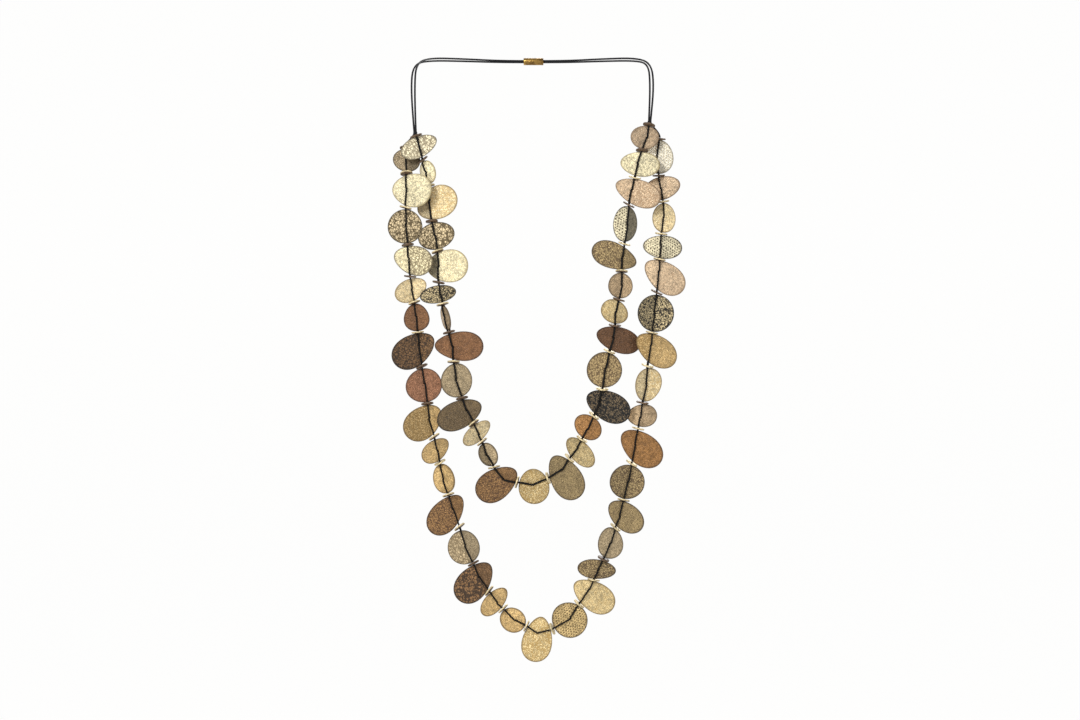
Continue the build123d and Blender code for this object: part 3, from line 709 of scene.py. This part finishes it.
# %% The swatch book
Swatch = namedtuple("Swatch", "foil hide metal wear cells slot")
SWATCHES = {name: Swatch(*row) for name, row in {
    "cream": ("F4E8C0", "DCC894", 0.30, 0.25, 900.0, "pale"),
    "pearl": ("EEE8D6", "BFB294", 0.35, 0.35, 900.0, "pale"),
    "champagne": ("E6D4AA", "C2A774", 0.40, 0.35, 900.0, "pale"),
    "hammered cream": ("F6E8BC", "8E8062", 0.40, 0.20, 900.0, "pale"),
    "speckled white": ("E8DCB8", "4E4434", 0.35, 0.20, 900.0, "pale"),
    "hammered white": ("F2E6C4", "94886E", 0.40, 0.20, 900.0, "pale"),
    "rose": ("D8BE9C", "AE9070", 0.35, 0.35, 1000.0, "pale"),
    "light gold": ("DEC896", "A88B54", 0.50, 0.40, 900.0, "gold"),
    "gold": ("CFB07A", "967846", 0.55, 0.40, 900.0, "gold"),
    "speckled gold": ("D2B67E", "66522F", 0.50, 0.30, 900.0, "gold"),
    "tan": ("BCA27E", "887256", 0.35, 0.35, 1000.0, "gold"),
    "stone": ("B9A582", "74644A", 0.45, 0.40, 1000.0, "gold"),
    "hammered stone": ("CEBA94", "54472F", 0.50, 0.30, 900.0, "gold"),
    "old gold": ("B0996C", "5C4A32", 0.55, 0.45, 900.0, "bronze"),
    "bronze": ("A98152", "583D25", 0.55, 0.45, 900.0, "bronze"),
    "olive": ("86704F", "44382A", 0.45, 0.45, 1000.0, "dark"),
    "brown": ("966A44", "5C3C26", 0.35, 0.40, 1000.0, "copper"),
    "dark brown": ("8E6A44", "382819", 0.35, 0.45, 1000.0, "dark"),
    "copper": ("AC7A5A", "74503A", 0.50, 0.40, 1000.0, "copper"),
    "amber": ("AE7E48", "745230", 0.50, 0.35, 950.0, "copper"),
    "rubbed black": ("C6AA82", "1A1611", 0.55, 0.95, 800.0, "dark"),
    "black gold": ("BCAA82", "18140E", 0.60, 0.50, 800.0, "dark"),
}.items()}
MARKS = ("relief", "tone", "rim", "back")
GRAIN_DEPTH = 0.2
EDGE_SHADE = 0.45
SUEDE = "8C7254"


def foil_over(tree, foil, hide, cells, **inputs):
    """Rubbed foil over a hide with fine pores, and the height of the pores."""
    grain = place_group(tree, FINE_GRAIN, {"Cells": cells})
    inputs.update(Foil=colour(foil), Hide=colour(hide), Crease=grain["Crease"])
    return place_group(tree, RUBBED_FOIL, inputs), grain["Height"]


def leather(name, swatch):
    """One metallic leather, from the swatch book."""
    material, tree, surface = shader("leather " + name)
    read = {mark: put(tree, "ShaderNodeAttribute", attribute_name=mark).outputs["Fac"]
            for mark in MARKS}
    foil, pores = foil_over(tree, swatch.foil, swatch.hide, swatch.cells, Relief=read["relief"],
                            Wear=swatch.wear, Tone=read["tone"])
    # The edge colour, darker than the hide, serves both the bare cut edge and the painted shade along
    # the rim
    edge_and_shade_colour = tuple(share * EDGE_SHADE for share in colour(swatch.hide)[:3]) + (1.0,)
    edged = place_group(tree, BARE_AND_SHADED_EDGE, {
        "Color": foil["Color"], "Edge": edge_and_shade_colour, "Suede": colour(SUEDE),
        "Rim": read["rim"], "Back": read["back"], "Cover": foil["Cover"]})
    give(surface, {"Base Color": edged["Color"], "Roughness": edged["Roughness"],
                   "Metallic": reckon(tree, edged["Cover"], "*", swatch.metal),
                   "Normal": bumped(tree, pores, GRAIN_DEPTH)})
    return material


LEATHERS = {name: leather(name, swatch) for name, swatch in SWATCHES.items()}
print("leathers:", len(LEATHERS))

# %% [markdown]
# Which hide each petal is cut from, how bright its inward and outward side are drawn, and the grain
# that was rolled into them. The two brightnesses are partly the leather's own tone and partly
# painted light and shade: a side that the bend over the cords turns from the lamp, or that lies in
# the shadow of a petal in front, is painted darker, and a lit side lighter. The leather bends over
# the cords, so one side often shows a flatter grain. A grain is the size of its cells, their depth,
# how long they are drawn out, and whether it is small pits in a smooth face or pebbles with creases
# between them.

# %% Grains and finishes of the petals
Grain = namedtuple("Grain", "cell depth drawn pits")
GRAINS = {
    "smooth": Grain(3.0, 0.02, 1.0, False),
    "fine": Grain(1.1, 0.05, 1.1, False),
    "pebbled": Grain(1.25, 0.09, 1.2, False),
    "coarse": Grain(1.55, 0.17, 1.3, False),
    "pitted": Grain(1.45, 0.14, 1.3, True),
}
# A row without a grain is fine on both sides, and one grain alone is on both sides
# Each row's two brightnesses are partly the leather's tone and partly painted light and shade on its
# inward and outward side
Finish = namedtuple("Finish", "hide tone_in tone_out grain_in grain_out", defaults=["fine", None])

OUTER_FINISH = [Finish(*row) for row in (
    ("stone", 0.55, 0.85),
    ("cream", 0.82, 0.76, "smooth"),
    ("hammered stone", 1.28, 1.28, "coarse"),
    ("hammered cream", 1.02, 0.92, "coarse", "smooth"),
    ("champagne", 1.10, 0.95),
    ("brown", 0.90, 0.72),
    ("dark brown", 1.05, 0.80, "pebbled"),
    ("copper", 0.95, 0.85),
    ("gold", 1.05, 0.76, "fine", "pebbled"),
    ("gold", 0.82, 0.95),
    ("gold", 1.15, 1.25),
    ("bronze", 0.85, 1.00, "fine", "pebbled"),
    ("stone", 0.82, 1.40, "fine", "coarse"),
    ("dark brown", 0.90, 1.25, "fine", "coarse"),
    ("gold", 1.10, 1.05),
    ("gold", 1.30, 1.25, "smooth", "fine"),
    ("light gold", 1.30, 1.20, "pebbled"),
    ("speckled gold", 0.94, 1.00, "pitted"),
    ("light gold", 1.15, 1.02),
    ("old gold", 1.08, 0.88, "pebbled"),
    ("stone", 1.00, 1.05),
    ("old gold", 0.94, 0.94),
    ("old gold", 0.90, 1.10, "pebbled"),
    ("amber", 0.88, 0.85),
    ("tan", 1.20, 0.88, "smooth", "fine"),
    ("champagne", 0.75, 1.02, "fine", "pebbled"),
    ("gold", 1.02, 0.98, "pebbled", "fine"),
    ("black gold", 0.90, 1.55, "pebbled"),
    ("rose", 1.10, 0.97, "smooth", "fine"),
    ("speckled white", 1.10, 0.80, "pitted"),
    ("champagne", 0.94, 1.28),
    ("rose", 1.05, 0.90, "fine", "smooth"),
    ("pearl", 1.50, 1.02, "pitted"),
)]
INNER_FINISH = [Finish(*row) for row in (
    ("hammered white", 1.10, 1.15, "coarse"),
    ("cream", 1.15, 1.20, "smooth"),
    ("champagne", 1.18, 0.60, "pebbled", "fine"),
    ("hammered stone", 1.45, 1.26, "coarse"),
    ("cream", 0.97, 0.25),
    ("black gold", 1.25, 1.45, "pebbled"),
    ("tan", 0.75, 1.00, "smooth"),
    ("brown", 0.92, 0.95),
    ("stone", 1.02, 0.97),
    ("olive", 0.95, 0.82),
    ("champagne", 0.78, 0.70),
    ("stone", 1.35, 1.05),
    ("bronze", 0.78, 0.92, "fine", "pebbled"),
    ("light gold", 0.95, 0.92, "pebbled"),
    ("old gold", 0.76, 0.86),
    ("light gold", 0.82, 0.82),
    ("amber", 0.98, 0.92, "smooth", "fine"),
    ("rubbed black", 0.46, 0.36, "pebbled"),
    ("old gold", 1.45, 1.30, "pebbled"),
    ("brown", 0.54, 0.50),
    ("light gold", 0.92, 0.72),
    ("tan", 0.87, 1.25),
    ("old gold", 1.18, 0.78, "pebbled", "fine"),
    ("speckled white", 0.90, 0.34, "pitted", "fine"),
    ("rose", 1.05, 1.02, "fine", "pebbled"),
    ("cream", 0.86, 0.70, "smooth"),
    ("rose", 0.65, 0.72),
)]

# %% [markdown]
# A petal starts as a square sheet, because a grid of even squares takes embossing well. It is
# extruded to a slab, its rim is cut in three so that it can be rounded, and its front is cut
# twice as finely as its back. Then each point of the square goes to its place on a disc, the
# disc to the egg, and the egg to its place on the strand, folded and embossed on the way.

# %% The square sheet that all petals start from
SHEET_CUTS = 34


def square_sheet():
    bm = bmesh.new()
    bmesh.ops.create_grid(bm, x_segments=SHEET_CUTS, y_segments=SHEET_CUTS, size=1.0)
    made = bmesh.ops.extrude_face_region(bm, geom=bm.faces[:], use_keep_orig=True)["geom"]
    front = [item for item in made if isinstance(item, bmesh.types.BMVert)]
    bmesh.ops.translate(bm, verts=front, vec=(0, 0, 1))
    upright = [edge for edge in bm.edges if abs(edge.verts[0].co.z - edge.verts[1].co.z) > 0.5]
    bmesh.ops.subdivide_edges(bm, edges=upright, cuts=2, use_grid_fill=True)
    face_edges = [edge for edge in bm.edges if all(vert.co.z > 0.99 for vert in edge.verts)]
    bmesh.ops.subdivide_edges(bm, edges=face_edges, cuts=1, use_grid_fill=True)
    bmesh.ops.recalc_face_normals(bm, faces=bm.faces)
    smooth_faces(bm)
    return bm


SHEET = square_sheet()
print("sheet:", len(SHEET.verts), "points,", len(SHEET.faces), "faces")

# %% Emboss the grain
PIT_SIZE = 0.4
PIT_BOTTOM = 0.12
CREASE_SIZE = 0.32
DRIFT = 0.5
DRIFT_LONG = 4.0
SEED_APART = 7.3
# Unseeded, noise_vector starts from the clock, and each run would have its own grain
DRIFT_SEED = 1
noise.seed_set(DRIFT_SEED)


def eased(value, low, high):
    share = min(max((value - low) / (high - low), 0.0), 1.0)
    return share * share * (3 - 2 * share)


def pit_distance(place):
    """How far a place is from the nearest of the pits, which stand in staggered rows."""
    row = math.floor(place.y)
    along = place.x + row % 2 / 2
    return math.hypot(along - math.floor(along) - 0.5, place.y - row - 0.5)


def relief_at(grain, flat, seed):
    """How high the grain stands at a flat place, from 0 in a crease or pit to 1 on top."""
    drift = DRIFT * noise.noise_vector(Vector((flat[0] / DRIFT_LONG, flat[1] / DRIFT_LONG, seed)))
    place = Vector((flat[0] / grain.cell / grain.drawn, flat[1] / grain.cell, seed * SEED_APART))
    place += drift
    if grain.pits:
        return eased(pit_distance(place), PIT_BOTTOM, PIT_SIZE)
    near, next_near = noise.voronoi(place)[0][:2]
    return eased(next_near - near, 0.0, CREASE_SIZE)


# %% Shape one petal
RIM_ROUND = 0.34
SOFT_FOLD = 1.0
CURL = 0.3
CURL_LONG = 11.0
CURL_FREE = 6.0
CURL_SEED = 3.1
# How far in from the outline the front is painted darker, as bare edge and painted shade
RIM_DARK = 0.9
DIMPLE = 0.25
TURN_OVER = 0.5
SHARP_GRAIN = 0.1
INNER_SEED = 100.0


def middling(petal):
    """The middling radius of a petal."""
    return PETAL * (petal.long + petal.wide) / 4


def disc_point(square):
    """The place on a round disc of a point of the square sheet."""
    x, y = square[0], square[1]
    return Vector((x * math.sqrt(1 - y * y / 2), y * math.sqrt(1 - x * x / 2)))


def flat_point(petal, disc, inset):
    """The place on the flat egg of a point of the disc, with the rim drawn in by inset."""
    a, b = turned(disc * (1 - inset / middling(petal)), -petal.aim)
    u = petal.long * PETAL / 2 * a
    v = petal.wide * PETAL / 2 * b * (1 - petal.taper * a)
    x, y = turned((u, v), petal.aim)
    x, y = x + petal.on * PETAL, y + petal.inward * PETAL
    lean = petal.yaw + (petal.fold if y > 0 else -petal.fold)
    return x, y * math.cos(math.radians(petal.fold)) / math.cos(math.radians(lean))


def leather_point(place, flat, height, seed):
    """A point over the petal's middle sheet, softly folded over the cords and a little curled."""
    petal, (x, y) = place.petal, flat
    steep = math.tan(math.radians(petal.fold))
    curl = CURL * noise.noise(Vector((x / CURL_LONG, y / CURL_LONG, seed * CURL_SEED)))
    rise = steep * (math.hypot(y, SOFT_FOLD) - SOFT_FOLD) + curl * min(1.0, abs(y) / CURL_FREE)
    slope = math.atan(steep * y / math.hypot(y, SOFT_FOLD))
    y, rise = y - height * math.sin(slope), rise + height * math.cos(slope)
    c, s = polar(petal.yaw)
    return (place.hole + place.along * x + place.inward * (y * c - rise * s)
            + place.forward * (y * s + rise * c))


def petal_piece(strand, n, finish):
    """One embossed petal in its place."""
    place, petal = strand.placed[n], strand.placed[n].petal
    seed = n + (INNER_SEED if strand.name == "inner" else 0.0)
    grains = GRAINS[finish.grain_out or finish.grain_in], GRAINS[finish.grain_in]
    bm = SHEET.copy()
    marks = {mark: bm.verts.layers.float.new(mark) for mark in MARKS}
    for vert in bm.verts:
        disc, through = disc_point(vert.co), vert.co.z
        flat = flat_point(petal, disc, RIM_ROUND * (1 - math.sin(math.pi * through)))
        height = -math.cos(math.pi * through) * LEATHER / 2
        side = eased(flat[1], -TURN_OVER, TURN_OVER)
        # Painted light and shade: each side's brightness is partly the leather's tone, partly painted
        # shade of the fold and of petals in front
        vert[marks["tone"]] = finish.tone_out + side * (finish.tone_in - finish.tone_out)
        vert[marks["back"]] = 1.0 if through < 0.01 else 0.0
        vert[marks["rim"]] = 1.0
        if through > 0.99:
            # The front darkens towards its rim: partly the bare cut edge, partly painted shade where
            # the edge rolls away
            vert[marks["rim"]] = eased(disc.length, 1 - RIM_DARK / middling(petal), 1)
            grain = grains[side > 0.5]
            level = relief_at(grain, flat, seed)
            height += grain.depth * (level - 1) - DIMPLE * math.exp(-math.hypot(*flat) ** 2)
            vert[marks["relief"]] = 1 - (1 - level) * min(1.0, grain.depth / SHARP_GRAIN)
        vert.co = leather_point(place, flat, height, seed) * MM
    finished(f"{strand.name}_petal_{n + 1:02d}", bm, [LEATHERS[finish.hide]],
             "leather_" + SWATCHES[finish.hide].slot, petal_node(strand, n))


# %% [markdown]
# Every finished mesh becomes a piece in the same way: it stands for its CAD solid and rides on
# the necklace's one body.

# %% Turn meshes into pieces and make all petals
def stretch_ends(strand):
    """The number of each stretch of thread, and of its first and last washer."""
    first = 0
    for number, count in enumerate(strand.stretches, 1):
        yield number, first, first + count
        first += count


def petal_node(strand, n):
    """A petal's CAD node, which is the stretch of thread where the petal is joined to it."""
    if n + 1 not in strand.joined:
        return f"petal_{strand.name}_{n + 1:02d}"
    stretch = next(number for number, _, last in stretch_ends(strand) if n < last)
    return f"thread_{strand.name}_{stretch}"


def declared(name, data, slot, *nodes):
    piece = new_object(name, data)
    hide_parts(*nodes)
    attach(piece, "root")


def finished(name, bm, materials, slot, *nodes):
    """A piece made of a bmesh, standing for CAD nodes."""
    mesh = mesh_from(bm, name)
    for material in materials:
        mesh.materials.append(material)
    declared(name, mesh, slot, *nodes)


for strand, finishes in ((outer, OUTER_FINISH), (inner, INNER_FINISH)):
    for n, finish in enumerate(finishes):
        petal_piece(strand, n, finish)
SHEET.free()
print("petals made:", len(OUTER_FINISH) + len(INNER_FINISH))

# %% [markdown]
# The washers are punched from the same leather. Each is strung with its foil face and rim turned
# up and its dark hide face down, so the foil stands for the lit top and the hide below is painted
# shade as well as the leather's back. Punching leaves a sharp rim that soon rounds, and the cords
# pull the middle in, so each is a little cupped. A short cylinder with rings in its two faces gives
# room for both.

# %% Washers
WASHER_SIDES = 28
WASHER_ROUND = 0.22
WASHER_RINGS = 2
RING_WIDE = WASHER / 7
CUP = 0.35
WASHER_CELLS = 1200.0
WASHER_WEAR = 0.2
WASHER_GRAIN = 0.08
WASHER_ROUGHNESS = (0.0, 1.0, 0.75, 0.5)
LIT_FOIL_TOP, DARK_HIDE_AND_SHADED_UNDERSIDE = 0, 1
DARK_WASHERS = {"outer": {0, 3, 4, 7, 8, 13, 20, 25, 28, 32, 33},
                "inner": {0, 1, 3, 5, 7, 9, 20, 21, 24, 26, 27}}


def cylinder(sides, wide, long):
    """An upright closed cylinder, and the edges of its two rims."""
    bm = bmesh.new()
    bmesh.ops.create_cone(bm, cap_ends=True, cap_tris=False, segments=sides,
                          radius1=wide / 2, radius2=wide / 2, depth=long)
    return bm, [edge for edge in bm.edges if edge.verts[0].co.z * edge.verts[1].co.z > 0]


def caps(bm):
    """The faces that close a cylinder's ends."""
    return [face for face in bm.faces if len(face.verts) > 4]


def washer_leather(name, foil, hide, metal):
    material, tree, surface = shader(name)
    foiled, pores = foil_over(tree, foil, hide, WASHER_CELLS, Relief=1.0, Wear=WASHER_WEAR, Tone=1.0)
    give(surface, {"Base Color": foiled["Color"], "Metallic": metal,
                   "Roughness": span(tree, foiled["Cover"], *WASHER_ROUGHNESS),
                   "Normal": bumped(tree, pores, WASHER_GRAIN)})
    return material


def washer_mesh():
    """One washer flat at the origin, cupped and with rounded rims, its foil on the upper face and rim
    as the lit side and its dark hide below as painted shade.
    """
    bm, rims = cylinder(WASHER_SIDES, WASHER, WASHER_THICK)
    round_edges(bm, rims, WASHER_ROUND, 2)
    for _ in range(WASHER_RINGS):
        bmesh.ops.inset_individual(bm, faces=caps(bm), thickness=RING_WIDE)
    smooth_faces(bm)
    for face in bm.faces:
        # Foil on the faces that look up or sideways, dark hide on those that look down: a lit top and
        # a painted shaded underside
        face.material_index = LIT_FOIL_TOP if face.normal.z > -0.5 else DARK_HIDE_AND_SHADED_UNDERSIDE
    for vert in bm.verts:
        vert.co.z -= CUP * (1 - (vert.co.xy.length / (WASHER / 2)) ** 2)
    return mesh_from(bm, "washer")


def add_washer(bm, middle, axis, dark):
    """Strings one more washer, with its foil turned up as the lit side and its hide below as painted
    shade, or one of dark hide all over.
    """
    strung, known = len(bm.verts), len(bm.faces)
    bm.from_mesh(WASHER_MESH)
    bm.verts.ensure_lookup_table()
    bm.faces.ensure_lookup_table()
    if dark:
        for face in bm.faces[known:]:
            face.material_index = DARK_HIDE_AND_SHADED_UNDERSIDE
    # The foil face is always turned to point up, so the painted shade of the hide face is always
    # underneath
    up = axis if axis.z > 0 else -axis
    turn = Matrix.Translation(middle) @ up.to_track_quat("Z", "Y").to_matrix().to_4x4()
    bmesh.ops.transform(bm, verts=bm.verts[strung:], matrix=turn)


WASHER_LEATHERS = [washer_leather("washer foil", "DCCA9E", "8E7248", 0.35),
                   washer_leather("washer hide", "5E4832", "2A2018", 0.0)]
WASHER_MESH = washer_mesh()
for strand in (outer, inner):
    for number, first, last in stretch_ends(strand):
        bm = bmesh.new()
        for n in range(first + 1 if first else 0, last + 1):
            add_washer(bm, strand.middles[n], strand.axes[n], n in DARK_WASHERS[strand.name])
        bmesh.ops.scale(bm, verts=bm.verts, vec=(MM, MM, MM))
        finished(f"{strand.name}_washers_{number}", bm, WASHER_LEATHERS, "thread_and_washers",
                 f"thread_{strand.name}_{number}")
bpy.data.meshes.remove(WASHER_MESH)
print("washers made:", len(outer.middles) + len(inner.middles))

# %% [markdown]
# The cords are thin waxed cord, nearly black. A round profile along a smooth spline is all that
# is needed: the spline is led by the points over the petals, and it rounds them as a real cord
# does. Wax gives a soft sheen, broken by the twist of the yarn.

# %% Cords over the petals
CORD_STEPS = 5
STRUNG_THICK = {"outer": 1.1, "inner": 1.3}
DUST = "24211E"
DUSTY_RIDGES = (0.45, 0.8)
YARN_ROUGHNESS = (0.3, 0.7, 0.62, 0.8)
YARN_SHINE = 0.2
YARN_DEEP = 0.06


def waxed_cord(name, tint, twist):
    """Black waxed yarn: a dull sheen, small ridges and a little dust in them."""
    material, tree, surface = shader(name)
    ridges = clouds(tree, twist)
    dusty = span(tree, ridges, *DUSTY_RIDGES)
    give(surface, {"Base Color": blend(tree, dusty, colour(tint), colour(DUST)),
                   "Roughness": span(tree, ridges, *YARN_ROUGHNESS),
                   "Specular IOR Level": YARN_SHINE, "Normal": bumped(tree, ridges, YARN_DEEP, 0.7)})
    return material


def crossing(a, b, middle, axis):
    """Where the line from a to b crosses the plane through a washer's middle."""
    return a.lerp(b, (middle - a).dot(axis) / (b - a).dot(axis))


def dropped(point, middle, axis):
    """The point moved along a washer's axis into the plane through its middle."""
    return point + axis * (middle - point).dot(axis)


def cord_points(strand, run, first, last):
    """The points of one cord from washer number first to washer number last."""
    points = [point for over in run[first:last] for point in over]
    a, b = (strand.middles[first], strand.axes[first]), (strand.middles[last], strand.axes[last])
    start = crossing(run[first - 1][-1], points[0], *a) if first else dropped(points[0], *a)
    at_end = last == len(run)
    end = dropped(points[-1], *b) if at_end else crossing(points[-1], run[last][0], *b)
    return [start] + points + [end]


def cord_piece(name, runs, thick, material, slot, *nodes):
    """Cords as round-profiled smooth splines, each led by its own points."""
    curve = bpy.data.curves.new(name, "CURVE")
    curve.dimensions = "3D"
    curve.bevel_depth = thick / 2 * MM
    curve.bevel_resolution = 2
    curve.use_fill_caps = True
    curve.resolution_u = CORD_STEPS
    for run in runs:
        spline = curve.splines.new("NURBS")
        spline.points.add(len(run) - 1)
        for lead, point in zip(spline.points, run):
            lead.co = (*(point * MM), 1.0)
        spline.order_u = 3
        spline.use_endpoint_u = True
    curve.materials.append(material)
    declared(name, curve, slot, *nodes)


STRUNG_CORD = waxed_cord("strung cord", "060505", 2600.0)
for strand in (outer, inner):
    for number, first, last in stretch_ends(strand):
        runs = [cord_points(strand, run, first, last) for run in strand.runs]
        cord_piece(f"{strand.name}_cords_{number}", runs, STRUNG_THICK[strand.name], STRUNG_CORD,
                   "thread_and_washers", f"thread_{strand.name}_{number}")

# %% [markdown]
# Above the top washer of the inner strand both cords are tied in one knot, from which a pair of
# cords rises round the neck and two short tails go down behind to the outer strand. The knot is
# a piece of cord too: two tight turns round the pair.

# %% Neck cords, tails and knots
NECK_THICK = 1.25
KNOT_TURNS = 2
POINTS_A_TURN = 12
KNOT_LEAN = 0.12
KNOT_FOOT = 1.05
KNOT_NARROWS = 0.2
NECK_CORD = waxed_cord("neck cord", "1C1D21", 2200.0)


def top_of(strand, number):
    """The middle of a strand's first or last washer and the way up from it."""
    axis = strand.axes[number]
    return strand.middles[number], axis if axis.z > 0 else -axis


def neck_points(top, sign):
    """The route of one neck cord from the knot to the barrel, on the knot's own side."""
    points = [top + Vector((sign * SWAP, 0, 0))]
    for x, y, z, apart in NECK_ROUTE:
        beside = sign * apart / 2 * max(0, 2 * y - 1)
        above = sign * apart / 2 * min(1, 2 - 2 * y)
        points.append(Vector((top.x * x + beside, -NECK_DEPTH * y, -STRAND_DROP * z + above)))
    side = math.copysign(1, top.x)
    for x in (BARREL_LONG / 2 + BARREL_LEAD, BARREL_LONG / 2 - BARREL_BORE_DEEP + SEAT_GAP):
        points.append(Vector((side * x, BARREL / 2, sign * SWAP)))
    return points


def knot_points(foot, up):
    """Tight turns of cord, one on the other, that lean and narrow a little as a pulled knot does."""
    wide = (KNOT - CORD) / 2
    across = up.orthogonal().normalized()
    ahead = up.cross(across)
    points = []
    for n in range(KNOT_TURNS * POINTS_A_TURN + 1):
        share = n / (KNOT_TURNS * POINTS_A_TURN)
        c, s = polar(360 * n / POINTS_A_TURN)
        height = CORD_RADIUS + (KNOT_TALL - CORD) * share + KNOT_LEAN * s
        narrower = KNOT_FOOT - KNOT_NARROWS * share
        points.append(foot + up * height + (across * c + ahead * s) * wide * narrower)
    return points


for side, number in (("left", 0), ("right", -1)):
    seat, up = top_of(inner, number)
    outer_seat, outer_up = top_of(outer, number)
    foot = seat + up * (WASHER_THICK / 2 + SEAT_GAP)
    top = foot + up * (KNOT_TALL - CORD_RADIUS)
    core = foot + up * KNOT_TALL / 2
    behind = core + Vector((0, WASHER / 2 + CORD, 0))
    runs = []
    for sign in (-1, 1):
        beside = Vector((sign * SWAP, 0, 0))
        ahead = frame_along(outer_up)[2] * sign * FREE_HEIGHT
        arrive = outer_seat + outer_up * TAIL_STRAIGHT + ahead
        end = outer_seat + outer_up * (WASHER_THICK / 2 + SEAT_GAP) + ahead
        runs.append([core + beside] + neck_points(top, sign))
        runs.append([core + beside, behind + beside, arrive, end])
    node = f"neck_cords_{side}"
    cord_piece(f"neck_pair_{side}", runs, NECK_THICK, NECK_CORD, "neck_cord", node)
    cord_piece(f"knot_{side}", [knot_points(foot, up)], CORD, NECK_CORD, "neck_cord", node)

# %% [markdown]
# Behind the neck a plain barrel takes the cord ends. It is turned from brass, so it starts as a
# cylinder; its two ends are inset and pushed in for the bores, and the sharp rims are broken
# with a small bevel. Brass shows fine turning lines and a softer, darker tone where it is held.

# %% Nape barrel
BARREL_SIDES = 40
BORE = 2 * CORD + 5 * CORD_GAP
BARREL_ROUND = 0.35
TURNING_LINES = 900.0
LINE_DEEP = 0.03
BRASS_PATCHES = 260.0
DARK_PATCHES = (0.35, 0.7)
BRASS_ROUGHNESS = (0.3, 0.7, 0.28, 0.5)


def turned_brass():
    """Old brass with turning lines round it and darker patches."""
    material, tree, surface = shader("turned brass")
    inputs = {"Vector": own_place(tree), "Scale": TURNING_LINES, "Distortion": 0.6}
    lines = put(tree, "ShaderNodeTexWave", inputs, bands_direction="X")
    patch = clouds(tree, BRASS_PATCHES)
    dark = span(tree, patch, *DARK_PATCHES)
    give(surface, {"Base Color": blend(tree, dark, colour("B08D4C"), colour("6E5430")),
                   "Metallic": 1.0, "Roughness": span(tree, patch, *BRASS_ROUGHNESS),
                   "Normal": bumped(tree, lines.outputs["Fac"], LINE_DEEP, 0.5)})
    return material


def barrel_piece():
    bm, rims = cylinder(BARREL_SIDES, BARREL, BARREL_LONG)
    ends = caps(bm)
    bmesh.ops.inset_individual(bm, faces=ends, thickness=(BARREL - BORE) / 2)
    for face in ends:
        deeper = bmesh.ops.extrude_discrete_faces(bm, faces=[face])["faces"]
        sign = math.copysign(1, deeper[0].calc_center_median().z)
        bmesh.ops.translate(bm, verts=deeper[0].verts, vec=(0, 0, -sign * BARREL_BORE_DEEP))
    round_edges(bm, rims, BARREL_ROUND, 3)
    bmesh.ops.recalc_face_normals(bm, faces=bm.faces)
    for face in bm.faces:
        face.smooth = len(face.verts) == 4
    turn = Matrix.Translation((0, BARREL / 2, 0)) @ Matrix.Rotation(math.pi / 2, 4, "Y")
    bmesh.ops.transform(bm, verts=bm.verts, matrix=Matrix.Scale(MM, 4) @ turn)
    finished("barrel", bm, [turned_brass()], "barrel", "nape_barrel")


barrel_piece()
